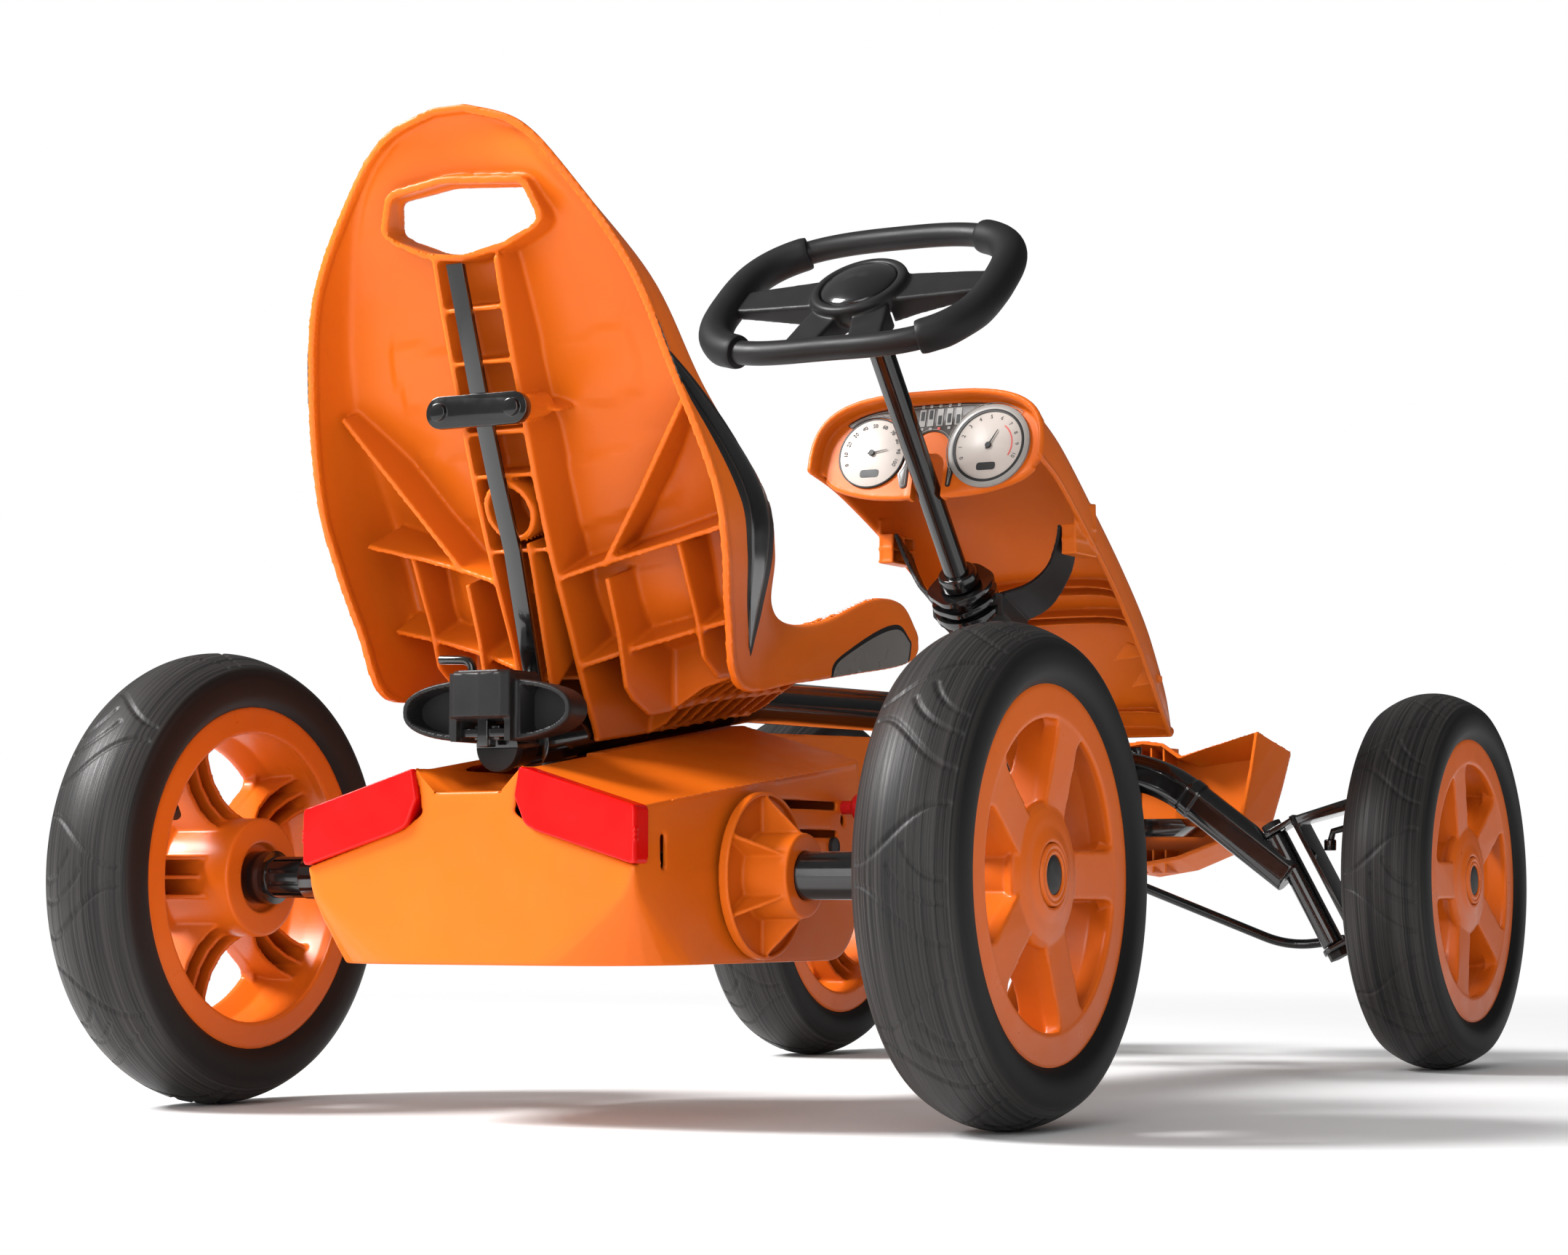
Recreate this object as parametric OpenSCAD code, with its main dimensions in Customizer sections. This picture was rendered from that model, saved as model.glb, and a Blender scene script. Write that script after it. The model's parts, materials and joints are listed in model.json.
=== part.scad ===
// Child's pedal go kart with an adjustable seat, a swinging front axle and a chain drive.
// X points to the driver's left, Y to the rear and Z up. The origin lies on the ground,
// midway between the axles. Sizes are in millimetres.

/* [Wheels] */
// Radius of the tyre tread
tyre_r = 183; // [150:1:220]
// Width of the tyre
tyre_w = 84.4; // [60:0.2:110]
// Radius of the rim flanges
flange_r = 138.6; // [110:0.1:160]
// Number of wheel spokes
spokes = 5; // [3:1:8]
// Distance between the rear tyre centres
rear_track = 705.4; // [600:0.2:800]
// Distance between the front tyre centres
front_track = 691.4; // [600:0.2:800]
// Distance between the axles
wheelbase = 1020; // [900:1:1200]

/* [Frame] */
// Radius of the main tube
rail_r = 18; // [14:0.5:24]
// Radius of the rear axle tube
axle_tube_r = 17.9; // [15:0.1:22]
// Radius of the axle shaft and the wheel spindles
shaft_r = 8; // [6:0.5:10]
// Free radial gap in a running fit
running_gap = 0.05; // [0.02:0.01:0.1]

/* [Drive] */
// Chain pitch
pitch = 12.7; // [9.5:0.1:16]
// Teeth on the axle sprocket
sprocket_teeth = 16; // [12:1:24]
// Teeth on the crank sprocket
ring_teeth = 24; // [18:1:36]
// Number of chain links
links = 134; // [110:2:150]
// Height of the crank axis
crank_z = 255; // [230:1:290]
// Length of a crank arm
crank_arm = 112; // [90:1:140]
// Angle of the right crank above the rearward level
crank_angle = 20; // [0:1:90]

/* [Steering] */
// Slope of the steering column from the ground
column_slope = 50.2; // [40:0.1:65]
// Radius of the steering column
column_r = 11.5; // [9:0.5:16]
// Half width of the steering wheel at its rim centre
wheel_half_w = 135; // [110:1:160]
// Half height of the steering wheel at its rim centre
wheel_half_h = 99; // [80:1:130]
// Lean of the kingpins
kingpin_lean = 28.3; // [5:0.1:35]

/* [Seat] */
// Height of the top of the seat back
seat_top = 742; // [650:1:800]
// Thickness of the seat shell
seat_wall = 4.5; // [3:0.5:6]

/* [Bodywork] */
// Half width of the rear housing at its back face
housing_half_w = 141; // [110:1:170]
// Wall of the moulded covers
cover_wall = 3.5; // [2.5:0.5:5]
// Height of the lowest edge of the rear housing
housing_floor = 118; // [90:1:140]

/* [Hidden] */
$fn = 48;
eps = 0.01;
rear_y = wheelbase / 2;
front_y = -wheelbase / 2;
rear_x = rear_track / 2;
front_x = front_track / 2;
rim_out = 35.7;
rim_in = -37.2;
hub_in = -43.7;
hub_web = -36;
hub_face = 30;
cap_face = 38.3;
shaft_end = 34;
bore_r = shaft_r + running_gap;

orange = [0.95, 0.47, 0.10];
black_paint = [0.07, 0.07, 0.08];
rubber = [0.16, 0.16, 0.17];
dark_plastic = [0.20, 0.20, 0.21];
steel = [0.62, 0.63, 0.65];
red = [0.88, 0.07, 0.08];

// Main tube: a rear part that climbs forward, a nearly level part and a falling nose.
rail_pts = [[0, 640, 278], [0, 262, 330], [0, -230, 336], [0, -478, 294]];
rail_slope = atan2(rail_pts[1][2] - rail_pts[0][2], rail_pts[0][1] - rail_pts[1][1]);
function rail_z(y) = rail_pts[0][2] + (rail_pts[0][1] - y) * tan(rail_slope);

// Chain drive
function pitch_r(teeth) = pitch / (2 * sin(180 / teeth));
sprocket_r = pitch_r(sprocket_teeth);
ring_r = pitch_r(ring_teeth);
chain_span = pitch * (links - (ring_teeth + sprocket_teeth) / 2) / 2;
crank_y = rear_y - sqrt(pow(chain_span, 2) - pow(crank_z - tyre_r, 2));
chain_x = 26;

// Front axle
beam_z = 297;
beam_arc_r = 150;
beam_fall = 37;
beam_end = 188;
kingpin_x = 205;
kingpin_r = 6;
pivot_r = 8;

// Steering column: distances along it count from this point, upwards.
column_foot = [0, -181, 431];
head_top = 8;
head_bottom = -300;
arm_s = -338;
wheel_s = 357;
arm_len = 36;
knuckle_arm = 42;
tie_inner_x = 22;
stud_r = 4;
tie_r = 4.5;

// Placement helpers
module on_wheel(side, half_track, y) {
  translate([side * half_track, y, tyre_r])
    rotate([0, side * 90, 0])
      children();
}

module on_column(s) {
  translate(column_foot)
    rotate([column_slope - 90, 0, 0])
      translate([0, 0, s])
        children();
}

module on_kingpin(side) {
  translate([side * kingpin_x, front_y, tyre_r])
    rotate([0, -side * kingpin_lean, 0])
      children();
}

module along_x(x0, x1, r) {
  translate([min(x0, x1), 0, 0])
    rotate([0, 90, 0])
      cylinder(r = r, h = abs(x1 - x0));
}

module along_y(y0, y1, r) {
  translate([0, min(y0, y1), 0])
    rotate([-90, 0, 0])
      cylinder(r = r, h = abs(y1 - y0));
}

module rod(a, b, r) {
  d = b - a;
  translate(a)
    rotate([0, acos(d[2] / norm(d)), atan2(d[1], d[0])])
      cylinder(r = r, h = norm(d));
}

module tube(h, ro, ri) {
  difference() {
    cylinder(r = ro, h = h);
    translate([0, 0, -1])
      cylinder(r = ri, h = h + 2);
  }
}

// Side outline in Y and Z, given a thickness across X.
module side_plate(x0, x1, pts) {
  translate([x0, 0, 0])
    rotate([90, 0, 90])
      linear_extrude(x1 - x0)
        polygon(pts);
}

// Front outline in X and Z, given a depth from y0 to y1.
module front_plate(y0, y1, pts) {
  translate([0, y1, 0])
    rotate([90, 0, 0])
      linear_extrude(y1 - y0)
        polygon(pts);
}

// Point on a smooth curve through the rows of a list.
function spline(rows, t) =
  let (n = len(rows) - 1,
       i = min(floor(t), n - 1),
       f = t - i,
       a = rows[max(i - 1, 0)],
       b = rows[i],
       c = rows[i + 1],
       d = rows[min(i + 2, n)])
  0.5 * ((2 * b) + (c - a) * f + (2 * a - 5 * b + 4 * c - d) * f * f
    + (3 * b - a - 3 * c + d) * f * f * f);

function blend(a, b, f) = a + (b - a) * f;

// Closed skin between two grids of points that have the same size.
module skin(front, back) {
  n = len(front);
  m = len(front[0]);
  pts = concat([for (r = front) each r], [for (r = back) each r]);
  o = n * m;
  polyhedron(points = pts, faces = concat(
    [for (i = [0 : n - 2], j = [0 : m - 2])
      each [[i*m + j, (i+1)*m + j, i*m + j + 1], [i*m + j + 1, (i+1)*m + j, (i+1)*m + j + 1]]],
    [for (i = [0 : n - 2], j = [0 : m - 2])
      each [[o + i*m + j, o + i*m + j + 1, o + (i+1)*m + j],
            [o + i*m + j + 1, o + (i+1)*m + j + 1, o + (i+1)*m + j]]],
    [for (i = [0 : n - 2])
      each [[i*m, o + i*m, (i+1)*m], [(i+1)*m, o + i*m, o + (i+1)*m],
            [i*m + m - 1, (i+1)*m + m - 1, o + i*m + m - 1],
            [(i+1)*m + m - 1, o + (i+1)*m + m - 1, o + i*m + m - 1]]],
    [for (j = [0 : m - 2])
      each [[j, j + 1, o + j], [j + 1, o + j + 1, o + j],
            [(n-1)*m + j, o + (n-1)*m + j, (n-1)*m + j + 1],
            [(n-1)*m + j + 1, o + (n-1)*m + j, o + (n-1)*m + j + 1]]]));
}

// ---------------------------------------------------------------- wheels
module rim(bore, phase) {
  seat_r = 128;
  spoke_w = 36;
  difference() {
    union() {
      rotate_extrude($fn = 96)
        polygon([[112, rim_out], [flange_r, rim_out], [flange_r, rim_out - 3.5],
          [seat_r, rim_out - 5], [seat_r, rim_in + 5], [flange_r, rim_in + 3.5],
          [flange_r, rim_in], [116, rim_in], [121, -28], [121, 18], [112, 28]]);
      translate([0, 0, hub_in])
        cylinder(r = 48, h = hub_face - hub_in);
      translate([0, 0, hub_face - 1])
        cylinder(r = 22.6, h = cap_face - 0.5 - hub_face);
      for (i = [0 : spokes - 1])
        rotate([0, 0, phase + i * 360 / spokes]) {
          translate([45, -spoke_w / 2, 21])
            cube([71, spoke_w, 12]);
          for (side = [-1, 1])
            translate([46, side * 12 - 2, -14])
              cube([77, 4, 36]);
        }
    }
    translate([0, 0, hub_face])
      cylinder(r = 19.5, h = 10);
    translate([0, 0, hub_in - 1])
      cylinder(r = 27.7, h = hub_web - hub_in + 1);
    translate([0, 0, -60])
      cylinder(r = bore, h = 120);
    rotate([0, 0, phase + 180 / spokes])
      translate([119, 0, -20])
        rotate([0, -70, 0])
          translate([0, 0, -20])
            cylinder(r = 3.2, h = 40);
  }
}

module tyre() {
  half = tyre_w / 2;
  crown = [for (a = [-60 : 10 : 60]) [tyre_r - 52 * (1 - cos(a)) * 0.62, (half - 5) * sin(a) / sin(60)]];
  rotate_extrude($fn = 120)
    polygon(concat(
      [[128, rim_in + 5], [flange_r, rim_in + 3.5], [flange_r, rim_in], [145, -half], [158, -half]],
      crown,
      [[158, half], [145, half], [flange_r, rim_out], [flange_r, rim_out - 3.5], [128, rim_out - 5]]));
}

module hub_cap() {
  translate([0, 0, cap_face - 1.5])
    cylinder(r = 22.6, h = 1.5);
}

module valve(phase) {
  rotate([0, 0, phase + 180 / spokes])
    translate([119, 0, -20])
      rotate([0, -70, 0]) {
        cylinder(r = 3.9, h = 2);
        cylinder(r = 3.2, h = 30);
        translate([0, 0, 26])
          cylinder(r = 4.6, h = 12);
      }
}

module axle_nut() {
  translate([0, 0, hub_face + 0.3])
    difference() {
      cylinder(r = 12.5, h = 5, $fn = 6);
      translate([0, 0, -1])
        cylinder(r = shaft_r, h = 7, $fn = 48);
    }
}

module front_left_rim() {
  color(orange)
    on_wheel(1, front_x, front_y)
      rim(bore_r, 36);
}

module front_left_tyre() {
  color(rubber)
    on_wheel(1, front_x, front_y)
      tyre();
}

module front_left_cap() {
  color(orange)
    on_wheel(1, front_x, front_y)
      hub_cap();
}

module front_left_valve() {
  color(black_paint)
    on_wheel(1, front_x, front_y)
      valve(36);
}

module front_right_rim() {
  color(orange)
    on_wheel(-1, front_x, front_y)
      rim(bore_r, 90);
}

module front_right_tyre() {
  color(rubber)
    on_wheel(-1, front_x, front_y)
      tyre();
}

module front_right_cap() {
  color(orange)
    on_wheel(-1, front_x, front_y)
      hub_cap();
}

module front_right_valve() {
  color(black_paint)
    on_wheel(-1, front_x, front_y)
      valve(90);
}

module rear_left_rim() {
  color(orange)
    on_wheel(1, rear_x, rear_y)
      rim(shaft_r, 90);
}

module rear_left_tyre() {
  color(rubber)
    on_wheel(1, rear_x, rear_y)
      tyre();
}

module rear_left_cap() {
  color(orange)
    on_wheel(1, rear_x, rear_y)
      hub_cap();
}

module rear_left_valve() {
  color(black_paint)
    on_wheel(1, rear_x, rear_y)
      valve(90);
}

module rear_right_rim() {
  color(orange)
    on_wheel(-1, rear_x, rear_y)
      rim(bore_r, 270);
}

module rear_right_tyre() {
  color(rubber)
    on_wheel(-1, rear_x, rear_y)
      tyre();
}

module rear_right_cap() {
  color(orange)
    on_wheel(-1, rear_x, rear_y)
      hub_cap();
}

module rear_right_valve() {
  color(black_paint)
    on_wheel(-1, rear_x, rear_y)
      valve(270);
}

module spindle_nut_left() {
  color(steel)
    on_wheel(1, front_x, front_y)
      axle_nut();
}

module spindle_nut_right() {
  color(steel)
    on_wheel(-1, front_x, front_y)
      axle_nut();
}

module axle_nuts() {
  color(steel)
    for (side = [-1, 1])
      on_wheel(side, rear_x, rear_y)
        axle_nut();
}

// ---------------------------------------------------------------- frame
module rail(r) {
  last = len(rail_pts) - 2;
  for (i = [0 : last]) {
    a = rail_pts[i];
    b = rail_pts[i + 1];
    d = (b - a) / norm(b - a);
    rod(a + d * (i > 0 ? 2 : 0), b - d * (i < last ? 2 : 0), r);
  }
  for (i = [1 : last])
    translate(rail_pts[i])
      sphere(r = r + 0.4);
}

module main_frame() {
  yoke_low = 229;
  color(black_paint)
    difference() {
      union() {
        rail(rail_r);
        // post and cradle between the rail and the rear axle
        translate([-15, 552, 230])
          cube([30, 36, rail_z(588) - 244]);
        translate([-41, rear_y - 42, 228])
          cube([82, 134, 6]);
        for (x = [-41, 36])
          side_plate(x, x + 5, [[rear_y - 42, 231], [rear_y + 78, 231], [rear_y + 24, 156],
            [rear_y - 24, 156]]);
        translate([0, rear_y, tyre_r]) {
          along_x(36, 262, axle_tube_r);
          along_x(-36, -302, axle_tube_r);
        }
        // bottom bracket
        translate([0, crank_y, crank_z])
          along_x(-34, 34, 18);
        translate([-4, crank_y - 12, crank_z + 14])
          cube([8, 60, 52]);
        // head tube
        on_column(head_bottom)
          cylinder(r = 21, h = head_top - head_bottom);
        on_column(head_top)
          cylinder(r = 32, h = 7);
        // yoke for the swinging axle
        translate([-24, front_y + 23, yoke_low])
          cube([48, 6, 92]);
        translate([-24, front_y - 29, yoke_low])
          cube([48, 6, 92]);
        translate([-24, front_y - 29, yoke_low])
          cube([48, 58, 18]);
        front_plate(front_y - 112, front_y - 29, [[-58, yoke_low], [58, yoke_low],
          [72, yoke_low + 10], [66, yoke_low + 18], [-66, yoke_low + 18], [-72, yoke_low + 10]]);
      }
      translate([0, rear_y, tyre_r])
        along_x(-400, 400, 12);
      translate([0, crank_y, crank_z])
        along_x(-40, 40, 14);
      on_column(head_bottom - 1)
        cylinder(r = 16, h = head_top - head_bottom + 20);
      translate([0, 0, beam_z])
        along_y(front_y - 40, front_y + 32, pivot_r);
      for (x = [-40, 40])
        translate([x, front_y - 100, yoke_low - 1])
          cylinder(r = 3, h = 20);
    }
}

// ---------------------------------------------------------------- rear housing
// Solid form of the housing, drawn in by a margin.
module housing_form(m) {
  front = 345;
  back = 679;
  w = housing_half_w;
  flat_w = 149;
  hull() {
    for (side = [-1, 1]) {
      translate([side * (w - 84), back - 88, housing_floor + m])
        cylinder(r = 88 - m, h = 2);
      translate([side * (flat_w - 2 - m) - 1, front + 46, housing_floor + 46])
        along_x(0, 2, 46 - m);
    }
    front_plate(back - 1 - m, back - m, [[-45, 259 - m], [45, 259 - m], [w - m, 230 - m],
      [w - m, 186], [m - w, 186], [m - w, 230 - m]]);
    front_plate(front + m, front + m + 1, [[-45, 305 - m], [45, 305 - m], [flat_w - m, 275 - m],
      [flat_w - m, 180], [m - flat_w, 180], [m - flat_w, 275 - m]]);
  }
}

module guard_form(m) {
  hull() {
    translate([0, crank_y, crank_z])
      along_x(-36 + m, 42 - m, 58 - m);
    translate([-36 + m, 345 + m, 150 + m])
      cube([78 - 2 * m, 10, 150 - 2 * m]);
  }
}

light_outline = [[45, 262], [144, 232], [144, 189], [56, 217], [40, 228]];

module light_recess(grow) {
  for (side = [-1, 1])
    front_plate(671 - grow, 690, [for (p = light_outline) [side * p[0], p[1]]]);
}

module rear_housing() {
  color(orange)
    difference() {
      union() {
        housing_form(0);
        guard_form(0);
      }
      housing_form(cover_wall);
      guard_form(cover_wall);
      // open channel under the rail
      channel_cut();
      translate([0, rear_y, tyre_r])
        along_x(-160, 160, 34);
      translate([0, crank_y, crank_z])
        along_x(-60, 60, 19);
      translate([-6, crank_y - 16, crank_z + 38])
        cube([12, 70, 40]);
      light_recess(0);
      for (z = [216, 238])
        translate([-160, 382, z - 3])
          cube([20, 100, 6]);
      translate([-160, 636, 184])
        cube([30, 7, 28]);
      translate([-152, 372, 227])
        along_x(0, 20, 4.05);
    }
}

module channel_cut() {
  hull() {
    for (y = [700, 250])
      translate([0, y, rail_z(y)])
        along_x(-28, 28, 29);
  }
}

module hub_cover(side) {
  mirror([side < 0 ? 1 : 0, 0, 0])
    translate([0, rear_y, tyre_r])
      rotate([0, 90, 0])
        difference() {
          union() {
            translate([0, 0, 149])
              cylinder(r = 62.6, h = 3);
            translate([0, 0, 152])
              tube(5, 62.6, 59.5);
            translate([0, 0, 149])
              cylinder(r = 31.7, h = 40);
            for (i = [0 : 5])
              rotate([0, 0, i * 60])
                rotate([90, 0, 0])
                  translate([0, 0, -1.5])
                    linear_extrude(3)
                      polygon([[20, 150], [60.5, 150], [60.5, 155], [31, 186], [20, 186]]);
          }
          translate([0, 0, 140])
            cylinder(r = axle_tube_r, h = 60);
          translate([0, 0, 140])
            cylinder(r = 27, h = 44);
        }
}

module hub_cover_left() {
  color(orange)
    hub_cover(1);
}

module hub_cover_right() {
  color(orange)
    hub_cover(-1);
}

module rear_light(side) {
  front_plate(671, 681, [for (p = light_outline) [side * p[0], p[1]]]);
}

module rear_light_left() {
  color(red)
    rear_light(1);
}

module rear_light_right() {
  color(red)
    rear_light(-1);
}

// ---------------------------------------------------------------- drive
module bush(x0, x1, ro) {
  translate([min(x0, x1), 0, 0])
    rotate([0, 90, 0])
      tube(abs(x1 - x0), ro, bore_r);
}

module drive_bearings() {
  color(steel) {
    translate([0, rear_y, tyre_r]) {
      bush(36, 46, 12);
      bush(250, 262, 12);
      bush(-46, -36, 12);
      bush(-302, -290, 12);
    }
    translate([0, crank_y, crank_z]) {
      bush(22, 34, 14);
      bush(-34, -22, 14);
    }
  }
}

module axle_shaft() {
  color(steel)
    translate([0, rear_y, tyre_r])
      along_x(-(rear_x + shaft_end), rear_x + shaft_end, shaft_r);
}

module drive_collar() {
  color(black_paint)
    translate([0, rear_y, tyre_r])
      rotate([0, 90, 0])
        difference() {
          union() {
            translate([0, 0, 263])
              cylinder(r = 16.7, h = 33);
            translate([0, 0, 296])
              cylinder(r = 21.5, h = rear_x + hub_web - 296);
          }
          cylinder(r = shaft_r, h = 400);
          for (i = [0 : 9])
            rotate([0, 0, i * 36])
              translate([14.5, -1.5, 262])
                cube([4, 3, 30]);
        }
}

module sprocket(teeth, bore, thick) {
  r = pitch_r(teeth) - 4.4;
  difference() {
    cylinder(r = r, h = thick, center = true);
    cylinder(r = bore, h = thick + 2, center = true);
    for (i = [0 : teeth - 1])
      rotate([0, 0, (i + 0.5) * 360 / teeth])
        translate([r + 1.5, 0, 0])
          cylinder(r = 3.6, h = thick + 2, center = true, $fn = 16);
  }
}

module axle_sprocket() {
  color(steel)
    translate([0, rear_y, tyre_r])
      rotate([0, 90, 0]) {
        translate([0, 0, chain_x])
          sprocket(sprocket_teeth, shaft_r, 2.4);
        translate([0, 0, -24])
          tube(chain_x + 24 - 1.2, 24, shaft_r);
      }
}

module crank_sprocket() {
  color(steel)
    translate([0, crank_y, crank_z])
      rotate([0, 90, 0])
        translate([0, 0, 38])
          difference() {
            union() {
              translate([0, 0, chain_x - 38])
                sprocket(ring_teeth, 20, 2.4);
              translate([0, 0, chain_x - 38 + 1.2])
                tube(8, 26, 20);
            }
            cylinder(r = shaft_r, h = 60, center = true);
          }
}

// Centre line of the chain: two arcs joined by two straight runs.
chain_tilt = atan2(crank_z - tyre_r, rear_y - crank_y);
wrap = asin((ring_r - sprocket_r) / norm([rear_y - crank_y, crank_z - tyre_r]));

module chain_run(a, b, count) {
  for (i = [0 : count - 1])
    let (p = blend(a, b, (i + 0.5) / count))
      translate(p)
        rotate([atan2(b[2] - a[2], b[1] - a[1]), 0, 0])
          cube([i % 2 == 0 ? 7.4 : 5.2, pitch - 1.2, 7.6], center = true);
}

module chain() {
  axle_c = [chain_x, rear_y, tyre_r];
  crank_c = [chain_x, crank_y, crank_z];
  up = 90 - chain_tilt - wrap;
  down = -90 - chain_tilt + wrap;
  ends = [for (a = [up, down])
    [crank_c + ring_r * [0, cos(a), sin(a)], axle_c + sprocket_r * [0, cos(a), sin(a)]]];
  color(steel) {
    for (e = ends)
      chain_run(e[0], e[1], 57);
    for (i = [0 : 11])
      translate(crank_c)
        rotate([up + (i + 0.5) * 15, 0, 0])
          translate([0, ring_r, 0])
            cube([i % 2 == 0 ? 5.2 : 7.4, 7.6, pitch - 1.8], center = true);
    for (i = [0 : 7])
      translate(axle_c)
        rotate([down + (i + 0.5) * 22.5, 0, 0])
          translate([0, sprocket_r, 0])
            cube([i % 2 == 0 ? 5.2 : 7.4, 7.6, pitch - 2.4], center = true);
  }
}

// Direction in which a crank arm points, as an angle about X from the rearward level.
function arm_angle(side) = side < 0 ? crank_angle : crank_angle + 180;

module crankset() {
  color(black_paint)
    translate([0, crank_y, crank_z]) {
      along_x(-66, 66, shaft_r);
      for (side = [-1, 1])
        rotate([arm_angle(side), 0, 0]) {
          translate([side * 62, 0, 0]) {
            along_x(-5, 5, 15);
            translate([-4, 0, -10])
              cube([8, crank_arm, 20]);
            translate([0, crank_arm, 0])
              along_x(-4, 4, 12);
          }
          translate([0, crank_arm, 0])
            along_x(side * 62, side * 162, 5);
        }
    }
}

module pedal(side) {
  translate([0, crank_y, crank_z])
    translate([0, crank_arm * cos(arm_angle(side)), crank_arm * sin(arm_angle(side))])
      difference() {
        union() {
          along_x(side * 70, side * 162, 11);
          for (y = [-1, 1])
            translate([min(side * 74, side * 160), y * 38 - 4, -10])
              cube([86, 8, 20]);
          for (x = [74, 116, 156])
            translate([side * x - (side < 0 ? 4 : 0), -36, -9])
              cube([4, 72, 18]);
        }
        along_x(side * 60, side * 170, 5 + running_gap);
      }
}

module pedal_left() {
  color(dark_plastic)
    pedal(1);
}

module pedal_right() {
  color(dark_plastic)
    pedal(-1);
}

module gear_lever() {
  color(red)
    translate([0, 372, 227]) {
      along_x(-146, -154, 4);
      along_x(-152, -160, 6);
      along_x(-160, -176, 11);
      translate([-174, -4, -32])
        cube([11, 10, 30]);
    }
}

// ---------------------------------------------------------------- front axle
module front_axle() {
  color(black_paint)
    difference() {
      union() {
        translate([0, front_y, beam_z - beam_arc_r])
          rotate([90, 0, 0])
            rotate([0, 0, 90 - beam_fall])
              rotate_extrude(angle = 2 * beam_fall, $fn = 96)
                translate([beam_arc_r, 0])
                  beam_profile(0);
        // straight ends, joined by a welded band
        for (side = [-1, 1])
          mirror([side < 0 ? 1 : 0, 0, 0])
            translate([beam_arc_r * sin(beam_fall), front_y,
                beam_z - beam_arc_r + beam_arc_r * cos(beam_fall)])
              rotate([0, 90 + beam_fall, 0]) {
                translate([0, 0, -5])
                  linear_extrude(12)
                    beam_profile(1.2);
                translate([0, 0, 2])
                  linear_extrude((beam_end - beam_arc_r * sin(beam_fall)) / cos(beam_fall) + 6)
                    beam_profile(0);
              }
        for (side = [-1, 1])
          on_kingpin(side)
            translate([0, 0, -72])
              cylinder(r = 11, h = 124);
        translate([0, 0, beam_z])
          along_y(front_y - 22, front_y + 22, 15);
      }
      for (side = [-1, 1])
        on_kingpin(side) {
          translate([0, 0, -90])
            cylinder(r = kingpin_r + running_gap, h = 180);
          translate([0, 0, 52])
            cylinder(r = 15, h = 40);
        }
      translate([0, 0, beam_z])
        along_y(front_y - 30, front_y + 30, pivot_r + running_gap);
    }
}

// Cross section of the beam: 38 high and 26 deep.
module beam_profile(grow) {
  for (x = [-6, 6])
    translate([x, 0])
      circle(r = 13 + grow);
  square([12, 26 + 2 * grow], center = true);
}

module axle_pivot_bolt() {
  color(steel)
    translate([0, 0, beam_z]) {
      along_y(front_y - 36, front_y + 30, pivot_r);
      translate([0, front_y - 29, 0])
        rotate([90, 0, 0])
          cylinder(r = 13, h = 7, $fn = 6);
    }
}

module knuckle(side) {
  arm_low = -79;
  difference() {
    union() {
      on_kingpin(side) {
        for (z = [arm_low, 52.5])
          translate([side < 0 ? -30 : 0, -13, z])
            cube([30, 26, 5.5]);
        for (z = [arm_low, 52.5])
          translate([0, 0, z])
            cylinder(r = 13, h = 5.5);
        translate([side < 0 ? -31 : 26, -20, arm_low])
          cube([5, 40, 137]);
        translate([-9, -knuckle_arm, arm_low])
          cube([18, knuckle_arm, 5.5]);
        translate([0, -knuckle_arm, arm_low])
          cylinder(r = 10, h = 5.5);
      }
      front_plate(front_y - 18, front_y + 18, [for (p = [[203, 238], [268, 254], [268, 264],
        [262, 264], [201, 246]]) [side * p[0], p[1]]]);
      translate([side < 0 ? -268 : 262, front_y - 20, 160])
        cube([6, 40, 100]);
      translate([0, front_y, tyre_r]) {
        along_x(side * 262, side * 268, 26);
        along_x(side * 262, side * (front_x + hub_web - 0.3), 12);
        along_x(side * 262, side * (front_x + shaft_end), shaft_r);
      }
    }
    on_kingpin(side) {
      translate([0, 0, -100])
        cylinder(r = kingpin_r, h = 200);
      translate([0, -knuckle_arm, -100])
        cylinder(r = stud_r + 0.5, h = 60);
    }
  }
}

module knuckle_left() {
  color(black_paint)
    knuckle(1);
}

module knuckle_right() {
  color(black_paint)
    knuckle(-1);
}

module kingpin(side) {
  on_kingpin(side) {
    translate([0, 0, -79])
      cylinder(r = kingpin_r, h = 137);
    translate([0, 0, 58])
      cylinder(r = 10, h = 7);
    translate([0, 0, -86])
      cylinder(r = 11, h = 7, $fn = 6);
  }
}

module kingpin_left() {
  color(steel)
    kingpin(1);
}

module kingpin_right() {
  color(steel)
    kingpin(-1);
}

// Tie rod ends, worked out from the steering arm and the drop arm.
function column_dir() = [0, cos(column_slope), sin(column_slope)];
function column_up() = [0, -sin(column_slope), cos(column_slope)];
function kingpin_dir(side) = [-side * sin(kingpin_lean), 0, cos(kingpin_lean)];
function tie_inner(side) = column_foot + arm_s * column_dir() + arm_len * column_up()
  + [side * tie_inner_x, 0, 0];
function tie_outer(side) = [side * kingpin_x, front_y - knuckle_arm, tyre_r]
  - 76 * kingpin_dir(side);

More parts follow.
